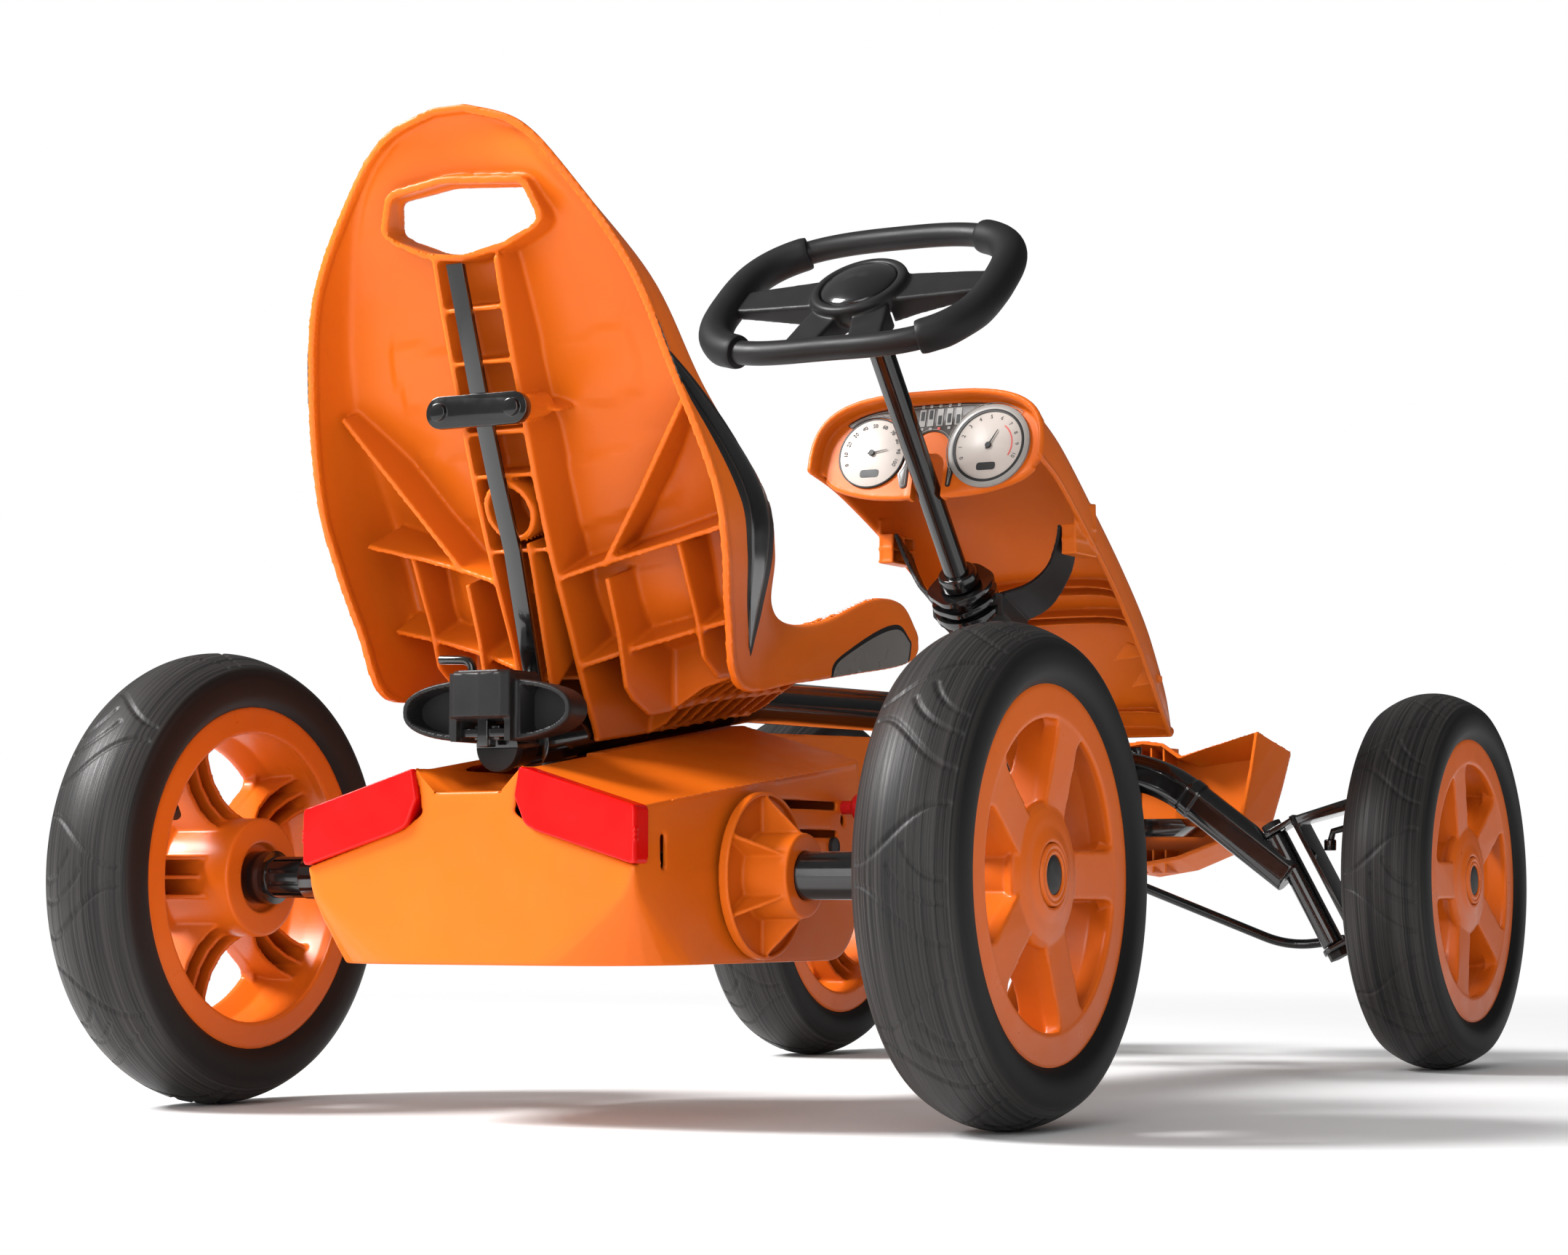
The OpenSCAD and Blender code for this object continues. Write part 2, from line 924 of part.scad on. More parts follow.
module tie_rod(side) {
  outer = tie_outer(side);
  top = outer + 10 * kingpin_dir(side);
  elbow = [side * 182, front_y - 30, 117];
  eye = tie_inner(side) - 9 * column_dir();
  across = eye - elbow - ((eye - elbow) * column_dir()) * column_dir();
  end = eye - 14 * across / norm(across);
  bend = (elbow - top) / norm(elbow - top);
  reach = (end - elbow) / norm(end - elbow);
  rod(outer - 8 * kingpin_dir(side), top + 3 * kingpin_dir(side), stud_r);
  rod(top - 3.5 * bend, elbow + 3 * bend, tie_r);
  rod(elbow - 3 * reach, end, tie_r - 0.2);
  translate(eye)
    rotate([column_slope - 90, 0, 0])
      translate([0, 0, -3])
        tube(6, 14, 10.5);
}

module tie_rod_left() {
  color(black_paint)
    tie_rod(1);
}

module tie_rod_right() {
  color(black_paint)
    tie_rod(-1);
}

// ---------------------------------------------------------------- steering
module steering_bushes() {
  color(dark_plastic) {
    on_column(head_top - 16)
      tube(23, 16, column_r + running_gap);
    on_column(head_top + 7)
      tube(3, 24, column_r + running_gap);
    on_column(head_bottom)
      tube(16, 16, column_r + running_gap);
  }
}

module steering_column() {
  color(black_paint) {
    on_column(arm_s)
      cylinder(r = column_r, h = wheel_s - 8 - arm_s);
    on_column(arm_s)
      hull() {
        cylinder(r = 17, h = 6);
        for (side = [-1, 1])
          translate([side * tie_inner_x, -arm_len, 0])
            cylinder(r = 10, h = 6);
      }
    for (side = [-1, 1])
      on_column(arm_s - 16)
        translate([side * tie_inner_x, -arm_len, 0])
          cylinder(r = stud_r, h = 18);
  }
}

module steering_collar() {
  color(black_paint)
    on_column(head_top + 10.2) {
      tube(14, 24, column_r);
      translate([0, 0, 14])
        tube(7, 32, column_r);
      translate([0, 0, 21])
        tube(14, 18, column_r);
    }
}

// Centre line of the steering wheel rim: a rounded box with a slightly hollow foot.
function wheel_pt(a) =
  let (p = 2.9,
       c = cos(a),
       s = sin(a),
       x = sign(c) * pow(abs(c), 2 / p) * wheel_half_w,
       y = sign(s) * pow(abs(s), 2 / p) * wheel_half_h)
  [x, y < 0 ? y + 7 * pow(cos(x * 90 / wheel_half_w), 2) : y, 0];

module on_steering_wheel() {
  on_column(wheel_s)
    rotate([0, 0, 180])
      children();
}

module steering_wheel() {
  color(dark_plastic)
    on_steering_wheel() {
      wheel_ring(11, 0, 360, 40);
      difference() {
        translate([0, 0, -14])
          cylinder(r = 46, h = 26);
        translate([0, 0, 8])
          cylinder(r = 36, h = 10);
        translate([0, 0, -20])
          cylinder(r = column_r, h = 20);
      }
      for (side = [-1, 1]) {
        translate([side < 0 ? -134 : 36, -20, -4])
          cube([98, 40, 9]);
        linear_extrude(9, center = true)
          polygon([[side * 8, -36], [side * 40, -24], [side * 52, -94], [side * 20, -94]]);
      }
    }
}

// Facetted ring along the rim's centre line.
module wheel_ring(r, a0, a1, steps) {
  n = 16;
  rows = [for (i = [0 : steps])
    let (a = blend(a0, a1, i / steps),
         p = wheel_pt(a),
         q = wheel_pt(a + 0.5) - wheel_pt(a - 0.5),
         t = q / norm(q))
    [for (j = [0 : n - 1])
      p + r * cos(j * 360 / n) * [t[1], -t[0], 0] + [0, 0, r * sin(j * 360 / n)]]];
  closed = a1 - a0 >= 360;
  m = closed ? steps : steps + 1;
  polyhedron(
    points = [for (i = [0 : m - 1]) each rows[i]],
    faces = concat(
      [for (i = [0 : steps - 1], j = [0 : n - 1])
        let (k = (i + 1) % m, l = (j + 1) % n)
        each [[i*n + j, i*n + l, k*n + j], [i*n + l, k*n + l, k*n + j]]],
      closed ? [] : [[for (j = [n - 1 : -1 : 0]) j], [for (j = [0 : n - 1]) (m - 1) * n + j]]));
}

module wheel_grips() {
  color(dark_plastic)
    on_steering_wheel()
      for (side = [0, 180])
        difference() {
          wheel_ring(15.6, side - 57, side + 58, 18);
          wheel_ring(11.05, 0, 360, 40);
          translate([side == 0 ? 36 : -134, -20.5, -4.5])
            cube([98, 41, 10]);
        }
}

module wheel_cap() {
  color(black_paint)
    on_steering_wheel()
      translate([0, 0, 8])
        intersection() {
          cylinder(r = 35, h = 14);
          translate([0, 0, -58])
            sphere(r = 69, $fn = 64);
        }
}

// ---------------------------------------------------------------- console
module console_bracket() {
  arm_w = 46;
  bar = 4;
  color(black_paint)
    difference() {
      union() {
        front_plate(-240, -240 + arm_w, [[-88, 512], [-86, 470], [-66, 436], [-34, 420], [34, 420],
          [66, 436], [86, 470], [88, 512], [88 - bar, 512], [86 - bar, 472], [64, 440],
          [33, 420 + bar], [-33, 420 + bar], [-64, 440], [bar - 86, 472], [bar - 88, 512]]);
        on_column(-40)
          tube(34, 24, 21);
      }
      on_column(-60)
        cylinder(r = 21, h = 66);
      for (side = [-1, 1])
        translate([0, -217, 502])
          along_x(side * 80, side * 92, 3);
    }
}

// Stations from brow to nose: rear edge y, z; half width; crest y, z.
hood_rows = [[-76, 566, 118, -96, 634], [-130, 549, 113, -168, 606], [-219, 506, 104, -262, 556],
  [-299, 460, 98, -345, 505], [-355, 418, 95, -412, 455], [-395, 389, 91, -455, 412],
  [-440, 360, 84, -494, 370], [-503, 331, 70, -520, 343]];

// Arched section at one station, drawn in by a margin.
function hood_section(s, m) =
  [for (k = [0 : 16])
    let (a = k * 11.25,
         h = pow(abs(sin(a)), 0.62),
         e = [s[0], s[1]],
         c = [s[3], s[4]],
         up = (c - e) / norm(c - e),
         p = e + (c - e) * h - up * (h * m),
         x = sign(cos(a)) * pow(abs(cos(a)), 0.62) * (s[2] - m))
    [x, p[0], p[1]]];

module hood_skin(t0, t1, steps, wall) {
  skin(
    [for (i = [0 : steps]) hood_section(spline(hood_rows, blend(t0, t1, i / steps)), 0)],
    [for (i = [0 : steps]) hood_section(spline(hood_rows, blend(t0, t1, i / steps)), wall)]);
}

// Dash face: its plane leans forward at the top.
dash_lean = 15.8;
module on_dash() {
  translate([0, -95, 580])
    rotate([90 - dash_lean, 0, 180])
      children();
}

module dash_outline(m) {
  difference() {
    polygon(concat(
      [for (a = [0 : 7.5 : 180])
        [sign(cos(a)) * pow(abs(cos(a)), 0.62) * (112 - m), -14 + pow(sin(a), 0.62) * (62 - m)]],
      [[-(112 - m), -16], [-(92 - m), -32 + m], [-60, -41 + m], [-26, -44 + m], [26, -44 + m],
        [60, -41 + m], [92 - m, -32 + m], [112 - m, -16]]));
    hull() {
      translate([0, -1])
        circle(r = 19 + m);
      translate([0, -60])
        circle(r = 22 + m);
    }
  }
}

module dash_console() {
  color(orange) {
    hood_skin(0, 7, 22, cover_wall);
    on_dash()
      linear_extrude(4)
        dash_outline(0);
    // cross ribs low in the nose
    for (t = [4.0, 4.45, 5.4, 6.2])
      hood_rib(t);
    // feet that take the console bracket
    for (side = [-1, 1])
      difference() {
        translate([side < 0 ? -103 : 88, -240, 488])
          cube([15, 46, 28]);
        translate([side < 0 ? -100 : 91, -236, 492])
          cube([9, 18, 20]);
        translate([side < 0 ? -100 : 91, -214, 492])
          cube([9, 16, 20]);
        translate([0, -216, 502])
          along_x(side * 86, side * 95, 3);
      }
  }
}

// Stiffening rib across the hood at one station.
module hood_rib(t) {
  s = spline(hood_rows, t);
  top = hood_section(s, cover_wall / 2);
  drop = [0, s[0] - s[3], s[1] - s[4]] * 0.4;
  for (k = [1 : 14])
    hull()
      for (p = [top[k], top[k + 1]]) {
        translate(p)
          cube(3, center = true);
        translate(p + drop * abs(sin(k * 11.25)))
          cube(3, center = true);
      }
}

module dash_panel() {
  color([0.20, 0.15, 0.13])
    on_dash()
      translate([0, 0, 4])
        linear_extrude(1)
          difference() {
            intersection() {
              dash_outline(9);
              union() {
                translate([-38, -38])
                  square([76, 90]);
                polygon([[-90, 12], [90, 12], [90, 60], [-90, 60]]);
              }
            }
            for (side = [-1, 1])
              translate([side * 60, 0])
                circle(r = side > 0 ? 40 : 34);
          }
}

module dash_gauges() {
  color([0.93, 0.92, 0.90])
    on_dash() {
      for (side = [-1, 1])
        translate([side * 60, 0, 4])
          cylinder(r = side > 0 ? 39.8 : 33.8, h = 2);
      for (side = [-1, 1])
        translate([side * 60, 0, 6])
          cylinder(r = 3.2, h = 2);
    }
}

// ---------------------------------------------------------------- front spoiler
wing_top = [[0, 328], [22, 326], [43, 314], [85, 326], [127, 338]];
wing_low = [[124, 246], [86, 219], [40, 206], [0, 200]];

function wing_outline() =
  let (half = concat(wing_top, wing_low))
  concat(half, [for (i = [len(half) - 2 : -1 : 1]) [-half[i][0], half[i][1]]]);

// Wing outline at one depth: it grows wider and sinks towards the front.
function wing_section(depth, m) =
  let (mid = [0, 262],
       grow = 1 + depth * 0.0034)
  [for (p = wing_outline())
    let (q = p - mid,
         f = 1 - m / norm(q))
    [q[0] * grow * f, front_y - 90 - depth, mid[1] + q[1] * f - depth * 0.32]];

module front_spoiler() {
  depth = 44;
  wall = 4;
  rear = wing_section(2, 2);
  front = wing_section(depth, 2);
  n = len(rear);
  core = [0, front[0][1], 248];
  color(orange)
    difference() {
      union() {
        // side walls, then the closed front
        for (i = [0 : n - 1]) {
          k = (i + 1) % n;
          hull()
            for (p = [rear[i], rear[k], front[i], front[k]])
              translate(p)
                cube(wall, center = true);
          hull()
            for (p = [front[i], front[k], core])
              translate(p)
                cube(wall, center = true);
        }
        // bosses on the bracket and ribs behind the skin
        for (side = [-1, 1])
          translate([side * 40 - 9, front_y - 134, 247])
            cube([18, 24, 64]);
        for (x = [-22, 0, 22])
          translate([x - 1.5, front_y - 132, 296])
            cube([3, 36, 20]);
      }
      for (side = [-1, 1])
        translate([side * 40, front_y - 100, 240])
          cylinder(r = 3, h = 40);
    }
}

// ---------------------------------------------------------------- seat
// Stations from the head of the back to the front of the pan:
// edge y, z; half width; bolster crest y, z; middle y, z.
seat_rows = [
  [706, 742, 14, 700, 744, 701, 741],
  [702, 727, 52, 693, 728, 691, 727],
  [690, 690, 84, 684, 686, 674, 690],
  [660, 620, 130, 630, 616, 634, 620],
  [655, 545, 160, 600, 540, 606, 545],
  [624, 470, 176, 535, 468, 575, 470],
  [603, 420, 174, 514, 425, 552, 420],
  [584, 372, 166, 505, 388, 532, 388],
  [556, 322, 160, 468, 376, 492, 366],
  [470, 330, 163, 420, 380, 420, 360],
  [380, 342, 166, 340, 403, 330, 366],
  [310, 352, 168, 292, 404, 268, 372],
  [280, 362, 168, 274, 388, 246, 372],
  [274, 372, 166, 268, 380, 236, 362]];

function seat_edge(s) = [s[0], s[1]];

function seat_section(s, wall) =
  let (e = [s[0], s[1]],
       b = [s[3], s[4]],
       m = [s[5], s[6]],
       w = s[2],
       d = (e - m) / norm(e - m),
       lip = min(14, w * 0.2),
       half = [[w, e, 1, 0], [w - 0.05 * lip, blend(e, b, 0.45), 1, 0],
         [w - 0.3 * lip, blend(e, b, 0.86), 0.9, 0.4], [w - lip, b, 0.3, 1],
         [blend(w - lip, 0, 0.22), blend(b, m, 0.3), 0, 1],
         [blend(w - lip, 0, 0.5), blend(b, m, 0.78), 0, 1],
         [blend(w - lip, 0, 0.75), blend(b, m, 0.96), 0, 1]])
  concat(
    [for (k = [0 : 6])
      let (h = half[k], q = h[1] + d * wall * h[3])
      [h[0] - wall * h[2], q[0], q[1]]],
    [[0, m[0] + d[0] * wall, m[1] + d[1] * wall]],
    [for (k = [6 : -1 : 0])
      let (h = half[k], q = h[1] + d * wall * h[3])
      [-(h[0] - wall * h[2]), q[0], q[1]]]);

seat_steps = 34;

function seat_grid(wall) =
  [for (i = [0 : seat_steps])
    seat_section(spline(seat_rows, i * (len(seat_rows) - 1) / seat_steps), wall)];

// The space between the shell and the plane of its rear edge, where the ribs stand.
function seat_floor_grid() =
  [for (i = [0 : seat_steps])
    let (s = spline(seat_rows, i * (len(seat_rows) - 1) / seat_steps),
         g = seat_section(s, seat_wall - 1))
    [for (p = g) [p[0] * 0.998, s[0] + 0.4, s[1]]]];

module rib_space() {
  skin(seat_grid(seat_wall - 1), seat_floor_grid());
}

module hand_hole(grow) {
  // six sided opening with rounded corners
  translate([0, 800, 660])
    rotate([90, 0, 0])
      linear_extrude(300)
        offset(r = 8 + grow, $fn = 24)
          polygon([[-44, 22], [-50, 20], [-56, -4], [-32, -18], [0, -22], [32, -18], [56, -4],
            [50, 20], [44, 22], [0, 26]]);
}

module rib_slabs() {
  for (x = [-31, 27])
    translate([x, 400, 300])
      cube([4, 400, 340]);
  for (z = [338, 380, 425, 479, 512, 562, 597])
    translate([-29, 400, z])
      cube([58, 400, 4]);
  for (side = [-1, 1]) {
    for (x = [62, 128])
      translate([side * x - 2, 400, 300])
        cube([4, 400, x > 100 ? 132 : 112]);
    front_plate(400, 800, [for (p = [[62, 410], [66, 410], [152, 524], [148, 526]])
      [side * p[0], p[1]]]);
    front_plate(400, 800, [for (p = [[27, 402], [60, 406], [176, 434], [176, 438], [60, 410],
      [27, 406]]) [side * p[0], p[1]]]);
    front_plate(400, 800, [for (p = [[27, 340], [60, 344], [176, 368], [176, 372], [60, 348],
      [27, 344]]) [side * p[0], p[1]]]);
  }
}

// Line of the stay bar behind the seat: height to y.
stay_line = [[317, 583], [424, 616], [478, 640], [533, 662], [628, 696]];
function stay_y(z) = lookup(z, stay_line);

module seat_shell() {
  color(orange) {
    difference() {
      union() {
        skin(seat_grid(0), seat_grid(seat_wall));
        intersection() {
          rib_space();
          hand_hole(5);
        }
      }
      hand_hole(0);
    }
    intersection() {
      rib_space();
      rib_slabs();
    }
    // channel walls that carry the stay bar down to the slide
    for (x = [-31, 27])
      side_plate(x, x + 4, [[548, 314], [stay_y(317), 317], [stay_y(424), 424], [stay_y(478), 478],
        [stay_y(478) - 60, 478], [560, 400], [520, 372], [506, 360], [508, 322]]);
    for (z = [340, 384, 425, 460])
      translate([-29, stay_y(z) - 40, z])
        cube([58, 40, 4]);
    // post that takes the clamp screws
    for (side = [-1, 1])
      translate([side * 32, 0, 524])
        difference() {
          along_y(620, stay_y(524) + 6, 9);
          along_y(640, 680, 3);
        }
  }
}

module seat_stay() {
  bar = 5;
  color(black_paint)
    side_plate(-7, 7, concat(
      [for (p = stay_line) [p[1] + 1, p[0]]],
      [for (i = [len(stay_line) - 1 : -1 : 0]) [stay_line[i][1] + 1 + bar, stay_line[i][0]]]));
}

module stay_clamp() {
  y = stay_y(524) + 6;
  color(black_paint)
    difference() {
      union() {
        translate([-32, y, 512])
          cube([64, 7, 24]);
        for (side = [-1, 1])
          translate([side * 32, 0, 524]) {
            along_y(y, y + 7, 12);
            along_y(y + 7, y + 11, 6.5);
            along_y(y - 14, y + 4, 3);
          }
      }
      // groove for the stay bar
      side_plate(-7.5, 7.5, [[y - 8, 508], [stay_y(508) + 6.4, 508], [stay_y(533) + 6.4, 533],
        [stay_y(540) + 6.4, 540], [y - 8, 540]]);
    }
}

module seat_trim(side, pts, x) {
  side_plate(side * x - (side < 0 ? 1.2 : 0), side * x + (side < 0 ? 0 : 1.2), pts);
}

module seat_trims() {
  color(dark_plastic)
    for (side = [-1, 1])
      seat_trim(side, [[304, 352], [296, 372], [312, 382], [350, 374], [400, 350], [400, 343],
        [330, 347]], 168.6);
}

// Slide that carries the seat along the rear of the main tube.
module on_rail(y) {
  translate([0, y, rail_z(y)])
    rotate([90 - rail_slope, 0, 0])
      children();
}

module seat_carriage() {
  color(black_paint)
    difference() {
      union() {
        on_rail(606)
          cylinder(r = 23.5, h = 150);
        // lugs for the handle pivot
        for (side = [-1, 1])
          translate([side * 14 - 3, 596, 300])
            cube([6, 26, 24]);
        // foot under the stay bar
        translate([-24, 530, 306])
          cube([48, 58, 11]);
      }
      on_rail(660) {
        cylinder(r = rail_r + running_gap, h = 300);
        translate([-16.8, -40, 0])
          cube([33.6, 40, 300]);
      }
      translate([0, 612, 316])
        along_x(-30, 30, 4);
    }
}

module seat_handle() {
  color(dark_plastic)
    difference() {
      union() {
        translate([-27, 634, 300])
          cube([54, 24, 28]);
        for (side = [-1, 1])
          translate([side * 50, 0, 302])
            difference() {
              union() {
                along_y(628, 658, 24);
                translate([side < 0 ? 0 : -26, 628, -24])
                  cube([26, 30, 48]);
              }
              along_y(634, 659, 20);
              translate([side < 0 ? 0 : -22, 634, -20])
                cube([22, 25, 40]);
            }
        translate([-10.5, 604, 310])
          cube([21, 40, 12]);
        translate([0, 612, 316])
          along_x(-20, 20, 4 - running_gap);
        // bent pin
        translate([18, 646, 326])
          cylinder(r = 3.5, h = 14);
        translate([0, 646, 340])
          along_x(18, 46, 3.5);
        translate([18, 646, 340])
          sphere(r = 3.5);
      }
      on_rail(700)
        cylinder(r = rail_r + 3, h = 200);
    }
}

main_frame();
rear_housing();
hub_cover_left();
hub_cover_right();
rear_light_left();
rear_light_right();
drive_bearings();
steering_bushes();
chain();
console_bracket();
dash_console();
dash_panel();
dash_gauges();
front_spoiler();
gear_lever();
axle_shaft();
drive_collar();
axle_sprocket();
axle_nuts();
rear_left_rim();
rear_left_tyre();
rear_left_cap();
rear_left_valve();
rear_right_rim();
rear_right_tyre();
rear_right_cap();
rear_right_valve();
crankset();
crank_sprocket();
pedal_left();
pedal_right();
front_axle();
axle_pivot_bolt();
knuckle_left();
knuckle_right();
kingpin_left();
kingpin_right();
spindle_nut_left();
spindle_nut_right();
tie_rod_left();
tie_rod_right();
front_left_rim();
front_left_tyre();
front_left_cap();
front_left_valve();
front_right_rim();
front_right_tyre();
front_right_cap();
front_right_valve();
steering_column();
steering_collar();
steering_wheel();
wheel_grips();
wheel_cap();
seat_shell();
seat_stay();
stay_clamp();
seat_trims();
seat_carriage();
seat_handle();
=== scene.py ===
import bpy
import bmesh
import json
import math

import numpy as np
from mathutils import Matrix, Vector


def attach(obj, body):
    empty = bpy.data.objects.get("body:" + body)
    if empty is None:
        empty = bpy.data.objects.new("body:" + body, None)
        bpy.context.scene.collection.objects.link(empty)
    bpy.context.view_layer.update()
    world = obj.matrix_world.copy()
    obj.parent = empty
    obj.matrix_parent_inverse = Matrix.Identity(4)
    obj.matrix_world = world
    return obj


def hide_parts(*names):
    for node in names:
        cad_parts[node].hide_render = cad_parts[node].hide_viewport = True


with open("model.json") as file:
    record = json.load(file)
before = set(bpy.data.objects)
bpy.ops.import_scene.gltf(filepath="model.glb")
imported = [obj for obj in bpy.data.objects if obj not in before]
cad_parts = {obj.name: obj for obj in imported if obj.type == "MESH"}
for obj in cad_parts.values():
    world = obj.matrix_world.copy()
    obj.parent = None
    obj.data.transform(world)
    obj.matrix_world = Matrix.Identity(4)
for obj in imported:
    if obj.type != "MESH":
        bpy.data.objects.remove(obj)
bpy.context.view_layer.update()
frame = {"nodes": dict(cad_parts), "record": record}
CAD = frame["nodes"]
MM = 0.001
RNG = np.random.default_rng(7)


# ---------------------------------------------------------------- materials
def new_material(name):
    m = bpy.data.materials.new(name)
    m.use_nodes = True
    t = m.node_tree
    return m, t, t.nodes["Principled BSDF"]


def add(t, kind, **values):
    n = t.nodes.new(kind)
    for k, v in values.items():
        if k in n.inputs:
            n.inputs[k].default_value = v
        else:
            setattr(n, k, v)
    return n


def noise_at(t, scale, detail=4.0, stretch=(1, 1, 1)):
    """Noise in object space, stretched along the axes."""
    tc = add(t, "ShaderNodeTexCoord")
    mp = add(t, "ShaderNodeMapping")
    mp.inputs["Scale"].default_value = stretch
    n = add(t, "ShaderNodeTexNoise", Scale=scale, Detail=detail)
    t.links.new(tc.outputs["Object"], mp.inputs["Vector"])
    t.links.new(mp.outputs["Vector"], n.inputs["Vector"])
    return n


def ramp(t, source, lo, hi, a, b):
    r = add(t, "ShaderNodeMapRange")
    r.inputs["From Min"].default_value = lo
    r.inputs["From Max"].default_value = hi
    r.inputs["To Min"].default_value = a
    r.inputs["To Max"].default_value = b
    t.links.new(source, r.inputs["Value"])
    return r.outputs["Result"]


def mix_colour(t, factor, a, b):
    m = add(t, "ShaderNodeMix", data_type="RGBA")
    if hasattr(factor, "links"):
        t.links.new(factor, m.inputs[0])
    else:
        m.inputs[0].default_value = factor
    for i, c in ((6, a), (7, b)):
        if hasattr(c, "links"):
            t.links.new(c, m.inputs[i])
        else:
            m.inputs[i].default_value = (*c, 1)
    return m.outputs[2]


def bump(t, height, strength, distance, after=None):
    b = add(t, "ShaderNodeBump", Strength=strength, Distance=distance)
    t.links.new(height, b.inputs["Height"])
    if after is not None:
        t.links.new(after, b.inputs["Normal"])
    return b.outputs["Normal"]


def moulded(name, colour, dark, rough, grain=900, depth=0.00004, glow=0.0, coat=0.0, spec=0.5, bleed=0.0):
    """Moulded plastic: slow colour drift, mottled gloss, fine grain and a painted highlight on sharp convex edges."""
    m, t, p = new_material(name)
    big = noise_at(t, 6, 3)
    c = mix_colour(t, ramp(t, big.outputs["Fac"], 0.3, 0.7, 0, 1), colour, dark)
    geo = add(t, "ShaderNodeNewGeometry")
    # painted highlight: convex edges (by pointiness) lighten towards a paler copy of the colour
    edge = ramp(t, geo.outputs["Pointiness"], 0.53, 0.62, 0, 0.35)
    c = mix_colour(t, edge, c, tuple(min(1.0, x * 1.25 + 0.02) for x in colour))
    path = add(t, "ShaderNodeLightPath")
    c = mix_colour(t, ramp(t, path.outputs["Is Diffuse Ray"], 0, 1, 0, bleed), c, (0.26, 0.15, 0.09))
    t.links.new(c, p.inputs["Base Color"])
    mid = noise_at(t, 45, 5)
    t.links.new(ramp(t, mid.outputs["Fac"], 0.3, 0.7, rough - 0.05, rough + 0.07), p.inputs["Roughness"])
    fine = noise_at(t, grain, 2)
    n = bump(t, fine.outputs["Fac"], 0.6, depth)
    slow = noise_at(t, 14, 2)
    n = bump(t, slow.outputs["Fac"], 0.25, 0.0006, n)
    t.links.new(n, p.inputs["Normal"])
    p.inputs["Specular IOR Level"].default_value = spec
    p.inputs["Coat Weight"].default_value = coat
    p.inputs["Coat Roughness"].default_value = 0.12
    if glow:
        p.inputs["Subsurface Weight"].default_value = glow
        p.inputs["Subsurface Radius"].default_value = (0.012, 0.004, 0.001)
        p.inputs["Subsurface Scale"].default_value = 1.0
    return m


def painted(name, colour, rough=0.16):
    """Gloss paint on steel tube, with slight orange peel."""
    m, t, p = new_material(name)
    big = noise_at(t, 9, 3)
    c = mix_colour(t, ramp(t, big.outputs["Fac"], 0.3, 0.7, 0, 1), colour, tuple(x * 1.5 for x in colour))
    t.links.new(c, p.inputs["Base Color"])
    n1 = noise_at(t, 120, 3)
    t.links.new(ramp(t, n1.outputs["Fac"], 0.3, 0.7, rough - 0.03, rough + 0.05), p.inputs["Roughness"])
    peel = noise_at(t, 300, 2)
    t.links.new(bump(t, peel.outputs["Fac"], 0.25, 0.0001), p.inputs["Normal"])
    p.inputs["Coat Weight"].default_value = 0.7
    p.inputs["Coat Roughness"].default_value = 0.05
    return m


def metal(name, colour, rough, stretch=(1, 1, 1)):
    m, t, p = new_material(name)
    n1 = noise_at(t, 220, 4, stretch)
    c = mix_colour(t, n1.outputs["Fac"], tuple(x * 0.75 for x in colour), colour)
    t.links.new(c, p.inputs["Base Color"])
    p.inputs["Metallic"].default_value = 1
    t.links.new(ramp(t, n1.outputs["Fac"], 0.3, 0.7, rough - 0.08, rough + 0.1), p.inputs["Roughness"])
    t.links.new(bump(t, n1.outputs["Fac"], 0.3, 0.0001), p.inputs["Normal"])
    return m


def tyre_material():
    """Rubber with painted highlight streaks running round the tread, glossier along them, and a smoother wall."""
    m, t, p = new_material("tyre_rubber")
    highlight_streak = noise_at(t, 1.0, 5, (650, 5, 5))
    fine = noise_at(t, 1.0, 4, (1500, 14, 14))
    level = ramp(t, highlight_streak.outputs["Fac"], 0.35, 0.7, 0, 1)
    attr = add(t, "ShaderNodeAttribute", attribute_name="tread")
    on_tread = add(t, "ShaderNodeMath", operation="MULTIPLY")
    t.links.new(level, on_tread.inputs[0])
    t.links.new(attr.outputs["Fac"], on_tread.inputs[1])
    # painted highlight: the tread's streaks lift the rubber from near black to a lighter grey
    c = mix_colour(t, on_tread.outputs[0], (0.011, 0.0105, 0.0105), (0.045, 0.041, 0.039))
    t.links.new(c, p.inputs["Base Color"])
    t.links.new(ramp(t, on_tread.outputs[0], 0, 1, 0.52, 0.36), p.inputs["Roughness"])
    p.inputs["Specular IOR Level"].default_value = 0.22
    h = add(t, "ShaderNodeMath", operation="MULTIPLY")
    t.links.new(fine.outputs["Fac"], h.inputs[0])
    t.links.new(attr.outputs["Fac"], h.inputs[1])
    n = bump(t, h.outputs[0], 0.5, 0.0004)
    n2 = noise_at(t, 900, 2)
    n = bump(t, n2.outputs["Fac"], 0.3, 0.00008, n)
    t.links.new(n, p.inputs["Normal"])
    return m


